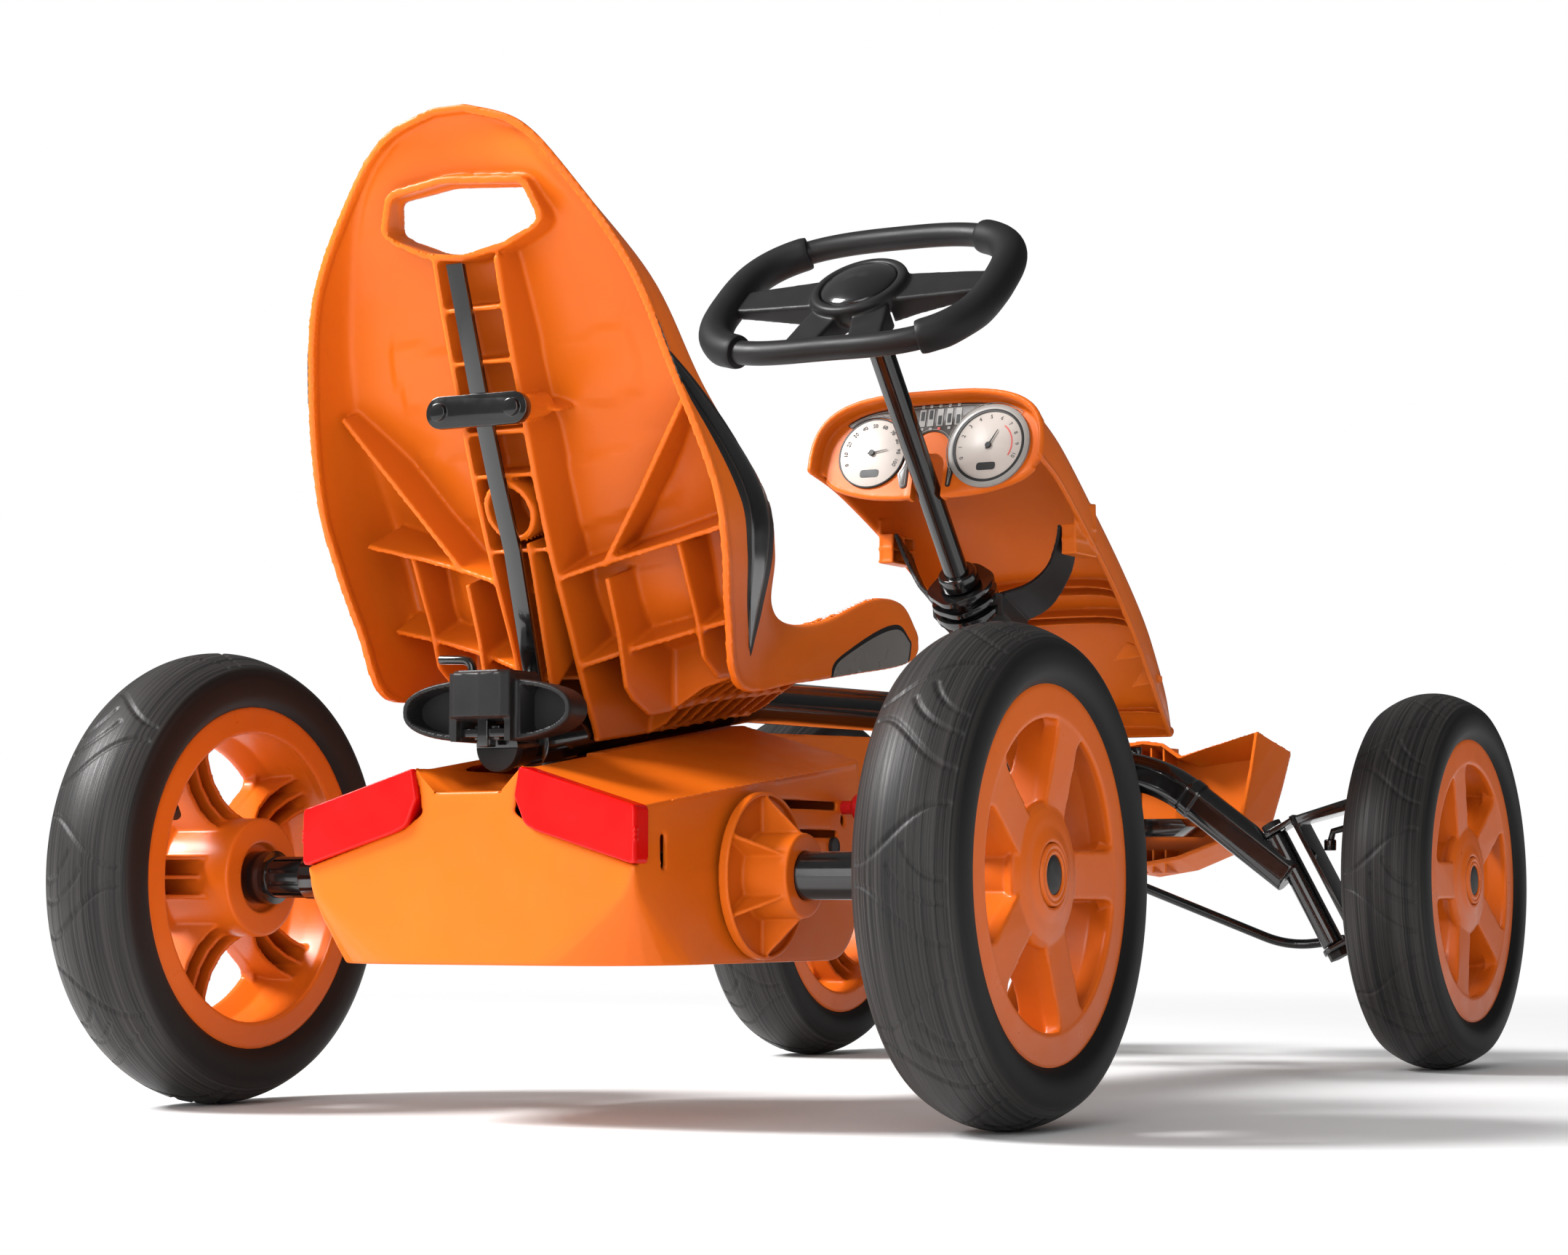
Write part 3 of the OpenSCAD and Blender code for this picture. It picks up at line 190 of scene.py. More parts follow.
ORANGE = (0.86, 0.165, 0.008)
M = {
    "orange": moulded("orange_plastic", ORANGE, (0.80, 0.140, 0.006), 0.36, glow=0.04, spec=0.28, bleed=0.8),
    "orange_rim": moulded("orange_rim", (0.84, 0.150, 0.009), (0.78, 0.13, 0.007), 0.32, glow=0.04, spec=0.30, bleed=0.8),
    "black_steel": painted("black_paint", (0.0045, 0.0042, 0.0042)),
    "dark": moulded("dark_plastic", (0.016, 0.015, 0.015), (0.012, 0.011, 0.011), 0.42, grain=1400, depth=0.00008, spec=0.3),
    "grip": moulded("soft_grip", (0.014, 0.0135, 0.014), (0.011, 0.0105, 0.011), 0.5, grain=1800, depth=0.0001, spec=0.22),
    "gloss_black": moulded("gloss_black", (0.008, 0.008, 0.009), (0.006, 0.006, 0.007), 0.17, depth=0.00001, coat=0.8),
    "tyre": tyre_material(),
    "rubber": moulded("black_rubber", (0.02, 0.02, 0.02), (0.015, 0.015, 0.015), 0.5),
    "red_lens": moulded("red_lens", (0.80, 0.004, 0.004), (0.74, 0.003, 0.003), 0.2, depth=0.00001, coat=0.15, spec=0.25, bleed=0.6),
    "red": moulded("red_plastic", (0.74, 0.010, 0.014), (0.66, 0.006, 0.01), 0.25, coat=0.3),
    "zinc": metal("zinc_steel", (0.55, 0.56, 0.57), 0.3),
    "chain": metal("chain_steel", (0.30, 0.29, 0.28), 0.38),
    "panel": moulded("dash_brown", (0.035, 0.021, 0.016), (0.030, 0.018, 0.013), 0.33),
    # gauge face: partly its own warm cream, partly painted shade from the hood over the dials
    "dial": moulded("gauge_face", (0.62, 0.55, 0.50), (0.60, 0.53, 0.48), 0.4, depth=0.00001),
    "ink": moulded("dial_ink", (0.012, 0.012, 0.012), (0.01, 0.01, 0.01), 0.5, depth=0.00001),
    "red_ink": moulded("dial_red", (0.62, 0.07, 0.05), (0.6, 0.06, 0.04), 0.5, depth=0.00001),
    "grey_trim": moulded("grey_trim", (0.22, 0.20, 0.185), (0.18, 0.165, 0.15), 0.3, coat=0.4),
    "leaf_trim": moulded("leaf_trim", (0.035, 0.025, 0.021), (0.05, 0.036, 0.03), 0.3, coat=0.3),
    "line": moulded("panel_line", (0.45, 0.40, 0.36), (0.42, 0.37, 0.33), 0.4, depth=0.00001),
}
SLOT = {
    "orange": "orange_plastic", "orange_rim": "orange_rim", "black_steel": "black_steel", "dark": "black_plastic",
    "grip": "soft_grip", "gloss_black": "gloss_black", "tyre": "tyre_rubber", "rubber": "black_rubber",
    "red_lens": "red_lens", "red": "red_plastic", "zinc": "zinc_steel", "chain": "chain_steel",
    "panel": "dash_brown", "dial": "gauge_face", "ink": "gloss_black", "red_ink": "red_plastic",
    "grey_trim": "black_plastic", "leaf_trim": "black_plastic", "line": "gauge_face",
}
KEY = {v: k for k, v in reversed(list(SLOT.items()))}


# ---------------------------------------------------------------- mesh helpers
class Build:
    """Collects closed solids in millimetres into one mesh."""

    def __init__(self):
        self.v, self.f = [], []

    def put(self, verts, faces):
        o = len(self.v)
        self.v += [tuple(p) for p in verts]
        self.f += [tuple(i + o for i in f) for f in faces]
        return self

    def move(self, matrix, start=0):
        for i in range(start, len(self.v)):
            self.v[i] = tuple(matrix @ Vector(self.v[i]))
        return self


def loft(rows, closed_rows=False, cap=True):
    """Skin over rows of points; each row is a closed ring. Ends are capped unless the rows close."""
    n, m = len(rows), len(rows[0])
    verts = [p for r in rows for p in r]
    faces = []
    for i in range(n if closed_rows else n - 1):
        k = (i + 1) % n
        for j in range(m):
            l = (j + 1) % m
            faces.append((i * m + j, i * m + l, k * m + l, k * m + j))
    if cap and not closed_rows:
        faces.append(tuple(range(m - 1, -1, -1)))
        faces.append(tuple((n - 1) * m + j for j in range(m)))
    return verts, faces


def lathe(profile, steps, place=lambda u, r, a: (u, r * math.cos(a), r * math.sin(a))):
    """Ring from a closed profile of (radius, along) points about the X axis."""
    rows = []
    for i in range(steps):
        a = 2 * math.pi * i / steps
        rows.append([place(u, r, a) for r, u in profile])
    return loft(rows, closed_rows=True)


def slab(outline, z0, z1):
    """Plate from a flat outline of (x, y) points."""
    lo = [(x, y, z0) for x, y in outline]
    hi = [(x, y, z1) for x, y in outline]
    return loft([lo, hi])


def tube_path(points, radius, sides=20, closed=False, squash=1.0):
    """Round bar along a line of points, with a steady section frame."""
    pts = [Vector(p) for p in points]
    n = len(pts)
    rows, side = [], None
    for i, p in enumerate(pts):
        a = pts[(i - 1) % n] if (closed or i) else p
        b = pts[(i + 1) % n] if (closed or i < n - 1) else p
        t = (b - a).normalized()
        if side is None:
            side = t.orthogonal().normalized()
        side = (side - t * side.dot(t)).normalized()
        other = t.cross(side)
        r = radius(i / (n - 1)) if callable(radius) else radius
        rows.append([p + r * (math.cos(2 * math.pi * j / sides) * side
                              + squash * math.sin(2 * math.pi * j / sides) * other) for j in range(sides)])
    return loft(rows, closed_rows=closed)


def catmull(points, steps, closed=False):
    """Smooth line through points."""
    p = [np.array(q, float) for q in points]
    n = len(p)
    out = []
    for i in range(n if closed else n - 1):
        a = p[(i - 1) % n] if (closed or i) else p[i]
        b, c = p[i], p[(i + 1) % n]
        d = p[(i + 2) % n] if (closed or i < n - 2) else c
        for k in range(steps):
            f = k / steps
            out.append(0.5 * (2 * b + (c - a) * f + (2 * a - 5 * b + 4 * c - d) * f * f
                              + (3 * b - a - 3 * c + d) * f ** 3))
    if not closed:
        out.append(p[-1])
    return [tuple(q) for q in out]


def rounded(outline, radius, steps=5):
    """Outline with its corners rounded; radius is one number or one for each corner."""
    n = len(outline)
    out = []
    for i in range(n):
        p = Vector(outline[i])
        a, b = Vector(outline[i - 1]) - p, Vector(outline[(i + 1) % n]) - p
        r = radius[i] if isinstance(radius, (list, tuple)) else radius
        la, lb = a.length, b.length
        a.normalize()
        b.normalize()
        half = math.acos(max(-1, min(1, a.dot(b)))) / 2
        if r <= 0 or half > 1.55:
            out.append(tuple(p))
            continue
        cut = min(r / math.tan(half), la * 0.49, lb * 0.49)
        s, e = p + a * cut, p + b * cut
        for k in range(steps + 1):
            f = k / steps
            out.append(tuple((1 - f) ** 2 * s + 2 * f * (1 - f) * p + f * f * e))
    return out


def to_mesh(name, build, scale=MM):
    me = bpy.data.meshes.new(name)
    me.from_pydata([tuple(c * scale for c in p) for p in build.v], [], build.f)
    bm = bmesh.new()
    bm.from_mesh(me)
    bmesh.ops.recalc_face_normals(bm, faces=bm.faces)
    bm.to_mesh(me)
    bm.free()
    return me


def make(name, build, mat, body, replaces=(), voxel=0, smooth=0, bevel=0, subsurf=0, cut=None, angle=40,
         share=None, matrix=None):
    """One finished piece. voxel fuses its solids into one skin; smooth relaxes it; bevel rounds hard edges."""
    me = share if share is not None else to_mesh(name, build)
    ob = bpy.data.objects.new(name, me)
    bpy.context.scene.collection.objects.link(ob)
    if share is None:
        if cut is not None:
            tool = bpy.data.objects.new(name + "_cut", to_mesh(name + "_cut", cut))
            bpy.context.scene.collection.objects.link(tool)
        if voxel:
            r = ob.modifiers.new("fuse", "REMESH")
            r.mode = "VOXEL"
            r.voxel_size = voxel * MM
        if cut is not None:
            b = ob.modifiers.new("cut", "BOOLEAN")
            b.operation = "DIFFERENCE"
            b.solver = "FAST" if not voxel else "EXACT"
            b.object = tool
        if smooth:
            s = ob.modifiers.new("relax", "SMOOTH")
            s.factor = 0.5
            s.iterations = smooth
        if bevel:
            b = ob.modifiers.new("edge", "BEVEL")
            b.width = bevel * MM
            b.segments = 3
            b.limit_method = "ANGLE"
            b.angle_limit = math.radians(angle)
            b.harden_normals = False
        if subsurf:
            s = ob.modifiers.new("sub", "SUBSURF")
            s.levels = s.render_levels = subsurf
        bpy.context.view_layer.update()
        dg = bpy.context.evaluated_depsgraph_get()
        me = bpy.data.meshes.new_from_object(ob.evaluated_get(dg))
        ob.modifiers.clear()
        ob.data = me
        if cut is not None:
            bpy.data.objects.remove(tool)
        shade(me, angle)
    if matrix is not None:
        ob.data = me.copy()
        ob.data.transform(matrix)
    ob.data.materials.clear()
    ob.data.materials.append(M[mat])
    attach(ob, body)
    if replaces:
        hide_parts(*replaces)
    return ob


def shade(me, angle):
    """Smooth faces, with sharp edges kept above the angle."""
    me.polygons.foreach_set("use_smooth", [True] * len(me.polygons))
    bm = bmesh.new()
    bm.from_mesh(me)
    limit = math.radians(angle)
    for e in bm.edges:
        e.smooth = not (len(e.link_faces) == 2 and e.calc_face_angle(0) > limit)
    bm.to_mesh(me)
    bm.free()


def dress(node, mat, bevel=0.6):
    """A CAD node that stays: a material, and softened edges."""
    ob = CAD[node]
    ob.data.materials.clear()
    ob.data.materials.append(M[mat])
    if bevel:
        w = ob.modifiers.new("weld", "WELD")
        w.merge_threshold = 0.00002
        d = ob.modifiers.new("flat", "DECIMATE")
        d.decimate_type = "DISSOLVE"
        d.angle_limit = math.radians(1.0)
        b = ob.modifiers.new("edge", "BEVEL")
        b.width = bevel * MM
        b.segments = 2
        b.limit_method = "ANGLE"
        b.angle_limit = math.radians(35)
    me_shade(ob)


def me_shade(ob):
    for p in ob.data.polygons:
        p.use_smooth = True
    m = ob.modifiers.new("shade", "EDGE_SPLIT")
    m.split_angle = math.radians(32)


# ---------------------------------------------------------------- stage
def stage():
    me = bpy.data.meshes.new("floor")
    me.from_pydata([(-30, -30, 0), (30, -30, 0), (30, 30, 0), (-30, 30, 0)], [], [(0, 1, 2, 3)])
    floor = bpy.data.objects.new("floor", me)
    bpy.context.scene.collection.objects.link(floor)
    m, t, p = new_material("floor")
    n = noise_at(t, 3, 3)
    c = mix_colour(t, ramp(t, n.outputs["Fac"], 0.3, 0.7, 0, 1), (0.88, 0.88, 0.88), (0.90, 0.90, 0.90))
    t.links.new(c, p.inputs["Base Color"])
    p.inputs["Roughness"].default_value = 0.7
    p.inputs["Specular IOR Level"].default_value = 0.2
    # the floor fades into the white backdrop with distance
    geo, length = add(t, "ShaderNodeNewGeometry"), add(t, "ShaderNodeVectorMath", operation="LENGTH")
    t.links.new(geo.outputs["Position"], length.inputs[0])
    fade = ramp(t, length.outputs["Value"], 1.2, 3.2, 0, 1)
    glow, mix = add(t, "ShaderNodeEmission", Strength=1.0), add(t, "ShaderNodeMixShader")
    t.links.new(fade, mix.inputs[0])
    t.links.new(p.outputs[0], mix.inputs[1])
    t.links.new(glow.outputs[0], mix.inputs[2])
    t.links.new(mix.outputs[0], t.nodes["Material Output"].inputs["Surface"])
    me.materials.append(m)

    # white to the camera; for the light itself a soft room, brighter on the driver's left
    world = bpy.data.worlds.new("studio")
    bpy.context.scene.world = world
    world.use_nodes = True
    t = world.node_tree
    bg, out = t.nodes["Background"], t.nodes["World Output"]
    tc = add(t, "ShaderNodeTexCoord")
    dot = add(t, "ShaderNodeVectorMath", operation="DOT_PRODUCT")
    dot.inputs[1].default_value = (0.34, 0.20, 0.12)
    t.links.new(tc.outputs["Generated"], dot.inputs[0])
    level = ramp(t, dot.outputs["Value"], -0.4, 0.4, 0.09, 0.80)
    path = add(t, "ShaderNodeLightPath")
    gloss = ramp(t, path.outputs["Is Glossy Ray"], 0, 1, 1.0, 0.30)
    power = add(t, "ShaderNodeMath", operation="MULTIPLY")
    t.links.new(level, power.inputs[0])
    t.links.new(gloss, power.inputs[1])
    t.links.new(power.outputs[0], bg.inputs["Strength"])
    bg.inputs["Color"].default_value = (1, 1, 1, 1)
    plain = add(t, "ShaderNodeBackground")
    plain.inputs["Color"].default_value = (1, 1, 1, 1)
    mix = add(t, "ShaderNodeMixShader")
    t.links.new(path.outputs["Is Camera Ray"], mix.inputs[0])
    t.links.new(bg.outputs[0], mix.inputs[1])
    t.links.new(plain.outputs[0], mix.inputs[2])
    t.links.new(mix.outputs[0], out.inputs["Surface"])
    bpy.context.scene.view_settings.view_transform = "Standard"
    bpy.context.scene.view_settings.exposure = 0.0

    def area(name, where, at, size, power):
        light = bpy.data.lights.new(name, "AREA")
        light.energy = power
        light.size = size
        ob = bpy.data.objects.new(name, light)
        bpy.context.scene.collection.objects.link(ob)
        ob.location = where
        ob.rotation_mode = "QUATERNION"
        ob.rotation_quaternion = (Vector(at) - Vector(where)).to_track_quat("-Z", "Y")

    area("key", (3.0, 2.4, 3.4), (0, 0, 0.3), 1.4, 400)
    area("fill", (-1.0, 4.2, 1.2), (0, 0, 0.35), 2.5, 50)


def camera():
    cam = bpy.data.cameras.new("camera")
    ob = bpy.data.objects.new("camera", cam)
    bpy.context.scene.collection.objects.link(ob)
    yaw, pitch = 0.4947, 0.0768
    look = Vector((math.sin(yaw) * math.cos(pitch), -math.cos(yaw) * math.cos(pitch), math.sin(pitch)))
    ob.location = (-1.4077, 2.8037, 0.1679)
    ob.rotation_mode = "QUATERNION"
    ob.rotation_quaternion = look.to_track_quat("-Z", "Y")
    cam.sensor_width = 36
    cam.lens = 80.11
    bpy.context.scene.camera = ob


stage()
camera()


# ---------------------------------------------------------------- wheels
TYRE_R, HALF_W = 183.0, 42.2
WHEELS = {
    "rear_left": (1, 352.7, 510, 90, "rear_axle"),
    "rear_right": (-1, 352.7, 510, 270, "rear_right_wheel"),
    "front_left": (1, 345.7, -510, 36, "front_left_wheel"),
    "front_right": (-1, 345.7, -510, 90, "front_right_wheel"),
}


def wheel_matrix(side, track, y, turn=0):
    """From wheel space in metres (z outwards) to the row frame."""
    axes = Matrix(((0, 0, side, 0), (0, 1, 0, 0), (-side, 0, 0, 0), (0, 0, 0, 1)))
    return Matrix.Translation((side * track * MM, y * MM, TYRE_R * MM)) @ axes @ Matrix.Rotation(math.radians(turn), 4, "Z")


def groove_lines():
    """Centre lines of one tread unit as (across, along) points in mm."""
    per_degree = math.pi * 176 / 180
    lines = []
    t = np.linspace(0, 1, 46)
    ease = t * t * (3 - 2 * t)
    for sign in (-1, 1):
        a0, a1 = sign * 15.8, sign * 2.4
        lines.append(np.stack([33 - 66 * t, (a0 + (a1 - a0) * ease) * per_degree], 1))
    for x0, a0, a1 in ((-5, -1.5, 6.6), (6, -6.2, 1.2)):
        bend = np.sin(t * math.pi / 2)
        lines.append(np.stack([x0 + (32 - x0) * t ** 1.25, (a0 + (a1 - a0) * bend) * per_degree], 1))
    return lines


def tyre_mesh(side):
    units, per_unit = 9, 92
    steps = units * per_unit
    wall = [(131, 30), (136.5, 34.5), (139.2, 37.6), (142.5, 40.3), (147, 41.8), (153, 42.2), (159, 42.0),
            (163.5, 41.2), (167, 39.9), (169.6, 38.4)]
    across = np.linspace(37.2, -37.2, 62)
    crown = [(TYRE_R - 12.4 * (abs(u) / 37.2) ** 2.1, u) for u in across]
    ring = wall + crown + [(r, -u) for r, u in reversed(wall)]
    n = len(ring)
    r0 = np.array([p[0] for p in ring])
    u0 = np.array([p[1] for p in ring])
    on_tread = np.array([0.0] * 8 + [0.4, 0.8] + [1.0] * 62 + [0.8, 0.4] + [0.0] * 8)
    unit = 2 * math.pi / units
    angles = (np.arange(per_unit) / per_unit - 0.5) * unit
    along = angles * 176
    depth = np.zeros((per_unit, n))
    for line in groove_lines():
        for shift in (-1, 0, 1):
            du = u0[None, :, None] - line[None, None, :, 0]
            dv = along[:, None, None] - (line[None, None, :, 1] + shift * unit * 176)
            d = np.sqrt((du * du + dv * dv).min(2))
            depth = np.maximum(depth, 1.35 * np.clip(1 - (d / 2.5) ** 2, 0, 1) ** 0.8
                               - 0.22 * np.exp(-((d - 3.4) / 0.9) ** 2))
    depth = depth * (on_tread > 0.7)[None, :]
    verts = np.zeros((steps, n, 3))
    for k in range(units):
        a = angles + k * unit
        rr = r0[None, :] - depth
        rows = slice(k * per_unit, (k + 1) * per_unit)
        verts[rows, :, 0] = side * u0[None, :]
        verts[rows, :, 1] = rr * np.cos(a)[:, None]
        verts[rows, :, 2] = -rr * np.sin(a)[:, None]
    idx = np.arange(steps * n).reshape(steps, n)
    nxt = np.roll(idx, -1, 0)
    faces = np.stack([idx, np.roll(idx, -1, 1), np.roll(nxt, -1, 1), nxt], 2).reshape(-1, 4)
    me = bpy.data.meshes.new("tyre")
    me.from_pydata((verts.reshape(-1, 3) * MM).tolist(), [], faces.tolist())
    bm = bmesh.new()
    bm.from_mesh(me)
    bmesh.ops.recalc_face_normals(bm, faces=bm.faces)
    bm.to_mesh(me)
    bm.free()
    me.polygons.foreach_set("use_smooth", [True] * len(me.polygons))
    at = me.attributes.new("tread", "FLOAT", "POINT")
    at.data.foreach_set("value", np.tile(on_tread, steps).astype(np.float32))
    return me


def rim_mesh():
    b = Build()
    barrel = [(112.4, 35.4), (115, 35.9), (135.5, 35.7), (138.2, 34.9), (138.8, 33.2), (137, 31.2), (128, 30),
              (128, -31), (137, -32.6), (138.8, -34.6), (138.2, -36.4), (135.5, -37.2), (118, -37.2),
              (116.2, -36.2), (118.5, -31), (121.2, -24), (122, -4), (121, 14), (116, 24), (112.6, 31)]
    lz = lambda u, r, a: (r * math.cos(a), r * math.sin(a), u)
    b.put(*lathe(barrel, 160, lz))
    hub = [(8.2, -36), (27.5, -36), (28.2, -43), (29, -43.7), (46.8, -43.7), (48, -42.5), (48, 20), (53.5, 26.5),
           (52.5, 30.2), (48, 32.6), (41, 34.0), (34, 34.6), (27.5, 36.6), (24, 37.0), (23.4, 36.4), (23.2, 31), (8.2, 31)]
    b.put(*lathe(hub, 96, lz))
    for i in range(5):
        turn = Matrix.Rotation(math.radians(72 * i), 4, "Z")
        start = len(b.v)
        # face of the spoke: it flares into the ring
        outline = [(30, -17), (58, -17.6), (100, -18), (107, -19.5), (111.5, -23.5), (118, -31)]
        outline += [(x, -y) for x, y in reversed(outline)]
        top = [(x, y, 31.4 + 4.2 * min(1, max(0, (x - 44) / 70))) for x, y in outline]
        low = [(x, y * 0.985, 22.5) for x, y in outline]
        b.put(*loft([low, top]))
        # three ribs behind the face
        for y in (-15.4, 0, 15.4):
            edge = [(44, -24), (52, -13), (62, -5), (78, 1), (96, 2), (110, -2), (119, -9), (123, -16)]
            ring = edge + [(123, 26), (44, 26)]
            b.put(*loft([[(x, y - 1.7, z) for x, z in ring], [(x, y + 1.7, z) for x, z in ring]]))
        b.move(turn, start)
    return b


def cap_ring():
    b = Build()
    ring = [(14.4, 36.9), (14.4, 37.6), (15.2, 38.3), (17.8, 38.3), (18.4, 37.7), (19.2, 37.7), (19.8, 38.3),
            (21.6, 38.3), (22.6, 37.4), (22.6, 33), (14.4, 33)]
    return b.put(*lathe(ring, 72, lambda u, r, a: (r * math.cos(a), r * math.sin(a), u)))


def cap_disc():
    b = Build()
    ring = [(0.01, 37.9), (9, 37.8), (12.6, 37.5), (14.3, 36.9), (14.3, 34), (0.01, 34)]
    return b.put(*lathe(ring, 48, lambda u, r, a: (r * math.cos(a), r * math.sin(a), u)))


def wheels():
    tyres = {s: tyre_mesh(s) for s in (1, -1)}
    rim = cap = disc = None
    for name, (side, track, y, turn, body) in WHEELS.items():
        place = wheel_matrix(side, track, y, turn)
        centre = Matrix.Translation((side * track * MM, y * MM, TYRE_R * MM))
        make(name + "_tyre_body", None, "tyre", body, (name + "_tyre",), share=tyres[side], matrix=centre)
        if rim is None:
            first = make("rim_form", rim_mesh(), "orange_rim", body, voxel=1.3, smooth=3, angle=60)
            rim = first.data
            bpy.data.objects.remove(first)
            first = make("cap_form", cap_ring(), "orange_rim", body, angle=50)
            cap = first.data
            bpy.data.objects.remove(first)
            first = make("disc_form", cap_disc(), "ink", body, angle=50)
            disc = first.data
            bpy.data.objects.remove(first)
        make(name + "_rim_body", None, "orange_rim", body, (name + "_rim",), share=rim, matrix=place)
        make(name + "_cap_ring", None, "orange_rim", body, (name + "_cap",), share=cap, matrix=place)
        make(name + "_cap_disc", None, "ink", body, share=disc, matrix=place)
        dress(name + "_valve", "rubber", 0.4)


wheels()


# ---------------------------------------------------------------- seat
# Stations: edge y, z; half width; bolster crest y, z; middle y, z.
SEAT = [(711, 742, 14, 703, 744, 704, 741), (708, 727, 58, 697, 728, 695, 727), (700, 690, 94, 690, 686, 681, 690),
        (682, 620, 139, 642, 616, 644, 620), (657, 545, 161, 602, 540, 607, 545), (624, 470, 176, 535, 468, 575, 470),
        (603, 420, 174, 514, 425, 552, 420), (584, 372, 166, 505, 388, 530, 386), (556, 322, 160, 468, 376, 498, 358),
        (470, 330, 163, 420, 380, 430, 352), (380, 342, 166, 340, 403, 330, 360), (310, 352, 168, 292, 404, 268, 370),
        (280, 362, 168, 274, 388, 246, 372), (274, 372, 166, 268, 380, 236, 362)]


def spline(rows, t):
    n = len(rows) - 1
    i = min(int(t), n - 1)
    f = t - i
    a, b, c, d = (np.array(rows[k], float) for k in (max(i - 1, 0), i, i + 1, min(i + 2, n)))
    return 0.5 * (2 * b + (c - a) * f + (2 * a - 5 * b + 4 * c - d) * f * f + (3 * b - a - 3 * c + d) * f ** 3)


def seat_edge_y(z):
    s = (z - 500) / 100
    return 639.4 + 44.8 * s - 6.2 * s * s


def step(x, lo, hi):
    t = min(1, max(0, (x - lo) / (hi - lo)))
    return t * t * (3 - 2 * t)


def pillow(x, z):
    """Raised cushions pressed into the back."""
    a = abs(x)
    out = 0
    for top, rise, low, fall, half in ((574, 17, 521, 20, 106), (492, 21, 438, 28, 110), (408, 14, 354, 22, 106)):
        hi = top + rise * (a / 110) ** 2
        lo = low + fall * a / 118
        side = half - 10 * step(abs(z - (hi + lo) / 2), 12, 34)
        out = max(out, step(hi - z, -3, 3) * step(z - lo, -3, 3) * step(side - a, -3, 3))
    return 3.0 * out


def seat_ring(s, wall):
    ey, ez, w, by, bz, my, mz = s
    e, b, m = Vector((ey, ez)), Vector((by, bz)), Vector((my, mz))
    d = (e - m).normalized()
    lip = min(14, w * 0.2)
    mid = lambda p, q, f: p + (q - p) * f
    inner = w - lip
    half = [(w, e, 1, 0), (w - 0.05 * lip, mid(e, b, 0.45), 1, 0), (w - 0.3 * lip, mid(e, b, 0.86), 0.9, 0.4),
            (inner, b, 0.3, 1), (inner * 0.78, mid(b, m, 0.3), 0, 1), (inner * 0.5, mid(b, m, 0.78), 0, 1),
            (inner * 0.25, mid(b, m, 0.96), 0, 1)]
    right = [(x - wall * g, *(p + d * wall * h)) for x, p, g, h in half]
    ring = right + [(0, *(m + d * wall))] + [(-x, y, z) for x, y, z in reversed(right)]
    line = catmull(ring, 6)
    if ez > 330 and my > 470:
        line = [(x, y + d.x * pillow(x, z), z + d.y * pillow(x, z)) for x, y, z in line]
    return line


def seat_grid(wall, steps=130):
    return [seat_ring(spline(SEAT, (len(SEAT) - 1) * i / steps), wall) for i in range(steps + 1)]


def bvh_of(rows):
    from mathutils.bvhtree import BVHTree
    v, f = loft(rows, cap=False)
    m = len(rows[0])
    f = [q for q in f if not (m - 1 in (q[0] % m, q[1] % m) and 0 in (q[0] % m, q[1] % m))]
    return BVHTree.FromPolygons([tuple(p) for p in v], f)


def wall(build, path, aims, thick, tree, sink=2.5, closed=False, fallback=30, spacing=7):
    """Rib from a rear edge line forward to the shell. aims gives the direction at each path point."""
    pts, dirs = [], []
    n = len(path)
    for i in range(n if closed else n - 1):
        a, b = Vector(path[i]), Vector(path[(i + 1) % n])
        da, db = Vector(aims[i]), Vector(aims[(i + 1) % n])
        k = max(1, int((b - a).length / spacing))
        for j in range(k):
            pts.append(a.lerp(b, j / k))
            dirs.append(da.lerp(db, j / k).normalized())
    if not closed:
        pts.append(Vector(path[-1]))
        dirs.append(Vector(aims[-1]).normalized())
    rows, reach = [], fallback
    m = len(pts)
    for i, (p, d) in enumerate(zip(pts, dirs)):
        a = pts[(i - 1) % m] if closed or i else p
        b = pts[(i + 1) % m] if closed or i < m - 1 else p
        side = (b - a).cross(d).normalized() * thick / 2
        hit = tree.ray_cast(p, d, 190)
        reach = hit[3] + sink if hit[0] is not None else min(reach, fallback)
        q = p + d * reach
        rows.append([p - side, p + side, q + side, q - side])
    build.put(*loft(rows, closed_rows=closed))


def rib_depth(x, z):
    """Place of the ribs' rear edges behind the seat's edge line."""
    a = abs(x)
    mid = np.interp(z, [316, 366, 424, 478, 530], [23, 15, 10, 5, 0])
    far = np.interp(z, [316, 350, 420], [13, -1, -2])
    return float(np.interp(a, [27, 62, 119, 150, 172], [mid, far, -22, -26, -26]))


def on_back(x, z, extra=0.0):
    return (x, seat_edge_y(z) + rib_depth(x, z) + extra, z)


HAND = [(60, 684), (12, 691), (-58, 685), (-69.5, 657.5), (-60, 651.5), (-36, 642), (2, 634.5), (34, 638.5), (60, 651), (68.5, 658)]
STAY = [(317, 583), (424, 616), (478, 640), (533, 662), (628, 696)]


def stay_y(z):
    return float(np.interp(z, [p[0] for p in STAY], [p[1] for p in STAY]))


